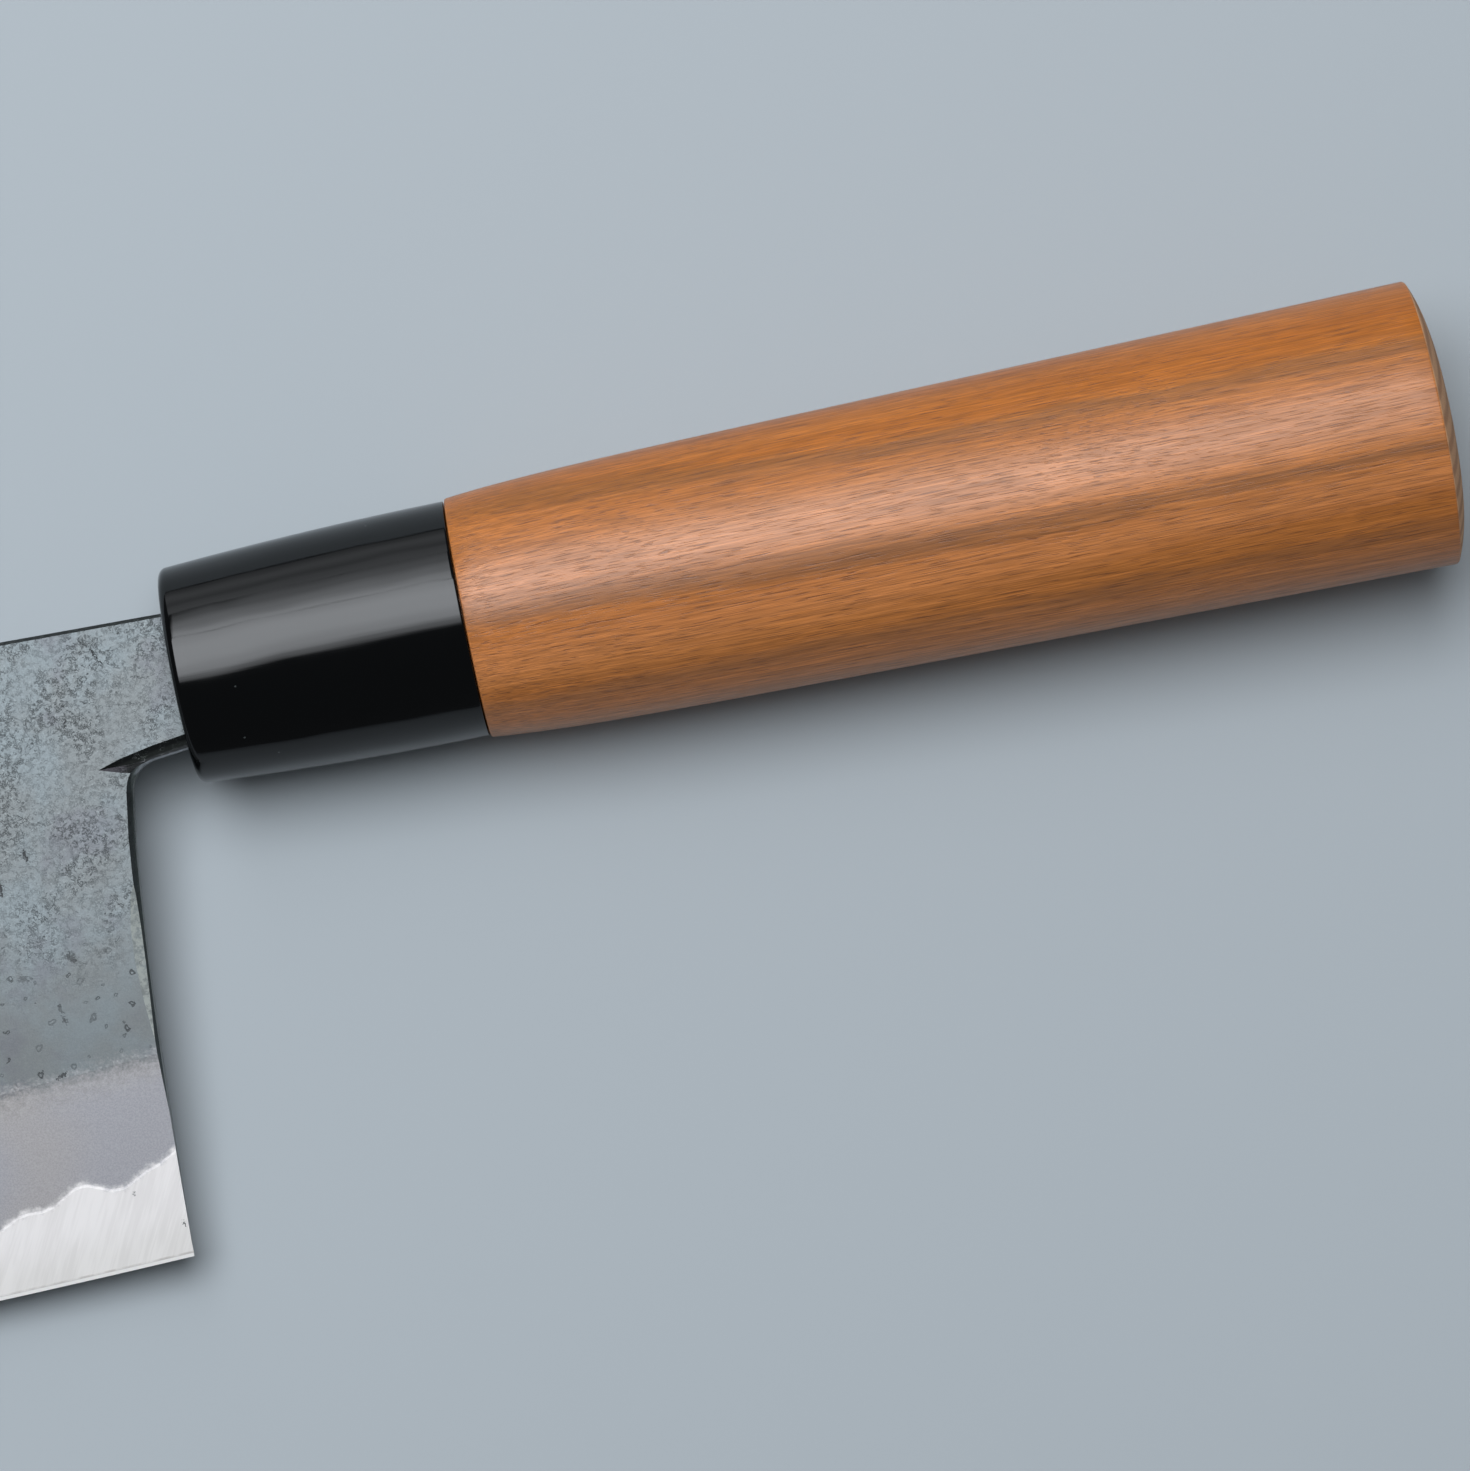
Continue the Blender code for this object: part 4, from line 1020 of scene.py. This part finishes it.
# %% [markdown]
# ## File work
#
# Neck, notch, heel and spine were filed after forging, which has left bare dark steel. These places
# are found by the surface's own direction, and they aren't all alike. A pale band along the middle
# of the neck's slope is painted reflection of the table, and the same band on the heel's slope is
# darker. The shallow wall of the notch is painted lit at its tip and painted in shade elsewhere.
# The facet on the back of the heel is painted pale in patches: a painted sheen of its polish.

# %% File work
FILED_DARK = (0.11, 0.125, 0.125, 1.0)
FILED_PALE = (0.2, 0.215, 0.21, 1.0)
# The middle band of the filed slopes: a painted reflection of the table along the neck, darker on the
# heel.
NECK_BAND = (0.135, 0.148, 0.138, 1.0)
HEEL_BAND = (0.075, 0.085, 0.08, 1.0)
NECK_REFLECTION = (0.32, 0.33, 0.34, 1.0)
# Painted light and shade on the notch's shallow wall: lit at its tip, in shade elsewhere.
NOTCH_HIGHLIGHT = (0.066, 0.063, 0.07, 1.0)
NOTCH_SHADE = (0.02, 0.021, 0.021, 1.0)
# Painted sheen of the polished facet on the back of the heel.
FACET_SHEEN = (0.37, 0.395, 0.37, 1.0)
# Painted highlight: the tiny bevel at the edge is painted near-white.
EDGE_GLINT_WHITE = (0.88, 0.86, 0.83, 1.0)


def filed_steel(tree, point, facing):
    """The colour of the filed slopes. Facing is how far the surface is turned to the flats."""
    x, y, z = split(tree, point)
    colour = mix(tree, noise(tree, point, 1.5), FILED_DARK, FILED_PALE)
    colour = scaled(tree, colour, soft_step(tree, y, -30.0, -55.0, 0.4, 1.0))
    from_middle = calc(tree, "ABSOLUTE", z)
    slope_end = soft_step(tree, y, -8.3, -10.3, 1.45, 1.05)
    deep = soft_step(tree, calc(tree, "SUBTRACT", from_middle, slope_end), 0.1, -0.1)
    deep = times(tree, deep, soft_step(tree, y, -2.0, -4.0))
    # Middle band of the slopes: painted reflection of the table on the neck, darker on the heel.
    middle_band = mix(tree, soft_step(tree, y, -8.8, -12.0), NECK_BAND, HEEL_BAND)
    colour = mix(tree, deep, colour, middle_band)
    # The pale painted reflection of the table along the middle of the neck's slope.
    reflection_band = soft_step(tree, from_middle, 1.3, 1.15)
    reflection_band = times(tree, reflection_band, soft_step(tree, y, -9.0, -8.5))
    colour = mix(tree, times(tree, reflection_band, deep), colour, NECK_REFLECTION)
    # Painted light and shade on the notch's wall: lit at its tip, in shade further along.
    notch = soft_step(tree, turned_to(tree, spinewards), 0.15, 0.3)
    notch = times(tree, notch, soft_step(tree, facing, 0.8, 0.9))
    notch_wall = mix(tree, soft_step(tree, x, -8.4, -6.4), NOTCH_HIGHLIGHT, NOTCH_SHADE)
    return mix(tree, notch, colour, notch_wall)


# %% [markdown]
# ## The blade's two materials
#
# Claddings and core get the same graph, each in a material of its own, because scale, satin, core
# and file marks have to meet without a seam where the layers meet.

# %% Finish the blade
def blade_material(name):
    """Scale above, satin on the bevel, bright core below, and the file work over all of them."""
    material, tree, shader = new_material(name)
    point = knife_millimetres(tree)
    x, y, _ = split(tree, point)
    height = above_edge(tree, x, y)
    wander = noise(tree, point, 1.1, detail=5.0, roughness=0.7)
    wander = calc(tree, "SUBTRACT", wander, 0.5)
    grit = calc(tree, "SUBTRACT", noise(tree, point, 4.0, detail=2.0), 0.5)
    from_ridge = calc(tree, "SUBTRACT", height, ridge_height(tree, x))
    from_ridge = calc(tree, "MULTIPLY_ADD", wander, 3.4, from_ridge)
    from_ridge = calc(tree, "MULTIPLY_ADD", grit, 2.0, from_ridge)
    scale_share = soft_step(tree, from_ridge, -1.3, 1.1)
    from_core = calc(tree, "SUBTRACT", height, core_height(tree, x))
    from_core = calc(tree, "MULTIPLY_ADD", wander, 2.0, from_core)
    core_share = soft_step(tree, from_core, 0.9, -0.2)

    scale_colour, relief = scale_finish(tree, point, from_ridge)
    core_colour, scratches = core_finish(tree, point, height)
    marks = all_marks(tree, point)
    colour = mix(tree, scale_share, satin_finish(tree, point, from_ridge), scale_colour)
    colour = mix(tree, core_share, colour, core_colour)
    colour = mix(tree, marks, colour, MARK_BLACK)

    facing = calc(tree, "ABSOLUTE", turned_to(tree, across))
    not_edge = soft_step(tree, height, 0.7, 1.2)
    # Painted sheen: the facet on the back of the heel is painted pale in patches.
    facet = times(tree, soft_step(tree, facing, 0.99, 0.97), not_edge)
    sheen_patches = noise(tree, point, 1.6, detail=4.0, roughness=0.7)
    sheen_patches = soft_step(tree, sheen_patches, 0.35, 0.6, 0.25, 0.9)
    filed = times(tree, soft_step(tree, facing, 0.945, 0.92), not_edge)
    tiny_bevel = soft_step(tree, height, 0.42, 0.3)
    colour = mix(tree, times(tree, facet, sheen_patches), colour, FACET_SHEEN)
    colour = mix(tree, filed, colour, filed_steel(tree, point, facing))
    # Painted highlight along the tiny bevel at the edge: a near-white colour.
    colour = mix(tree, tiny_bevel, colour, EDGE_GLINT_WHITE)

    roughness = calc(tree, "MULTIPLY_ADD", filed, -0.18, 0.46)
    metal = calc(tree, "MULTIPLY_ADD", scale_share, -0.4, 0.8)
    metal = calc(tree, "MULTIPLY_ADD", core_share, -0.45, metal)
    metal = calc(tree, "MAXIMUM", metal, filed)
    # The tiny bevel's painted highlight is not metal.
    metal = times(tree, metal, calc(tree, "SUBTRACT", 1.0, tiny_bevel))
    relief = times(tree, calc(tree, "SUBTRACT", relief, marks), scale_share)
    relief = calc(tree, "MULTIPLY_ADD", times(tree, scratches, core_share), 0.05, relief)
    normal = bump(tree, relief, 0.05 * MM, 0.5)
    use(tree, shader, Base_Color=colour, Roughness=roughness, Metallic=metal, Normal=normal)
    return material


iron = blade_material("forged_iron")
for name in ("left_cladding", "right_cladding"):
    dress(frame["nodes"][name], iron)
dress(frame["nodes"]["core_steel"], blade_material("core_steel"))

# %% [markdown]
# ## Check the size
#
# The dressed knife must stay in the solids' box, so the script prints how far it reaches past that
# box.

# %% How far past the solids' box
low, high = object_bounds()
past = [round(max(0, gap) / MM, 3) for gap in (*(cad_low - low), *(high - cad_high))]
print("past the solids' box in mm:", past)
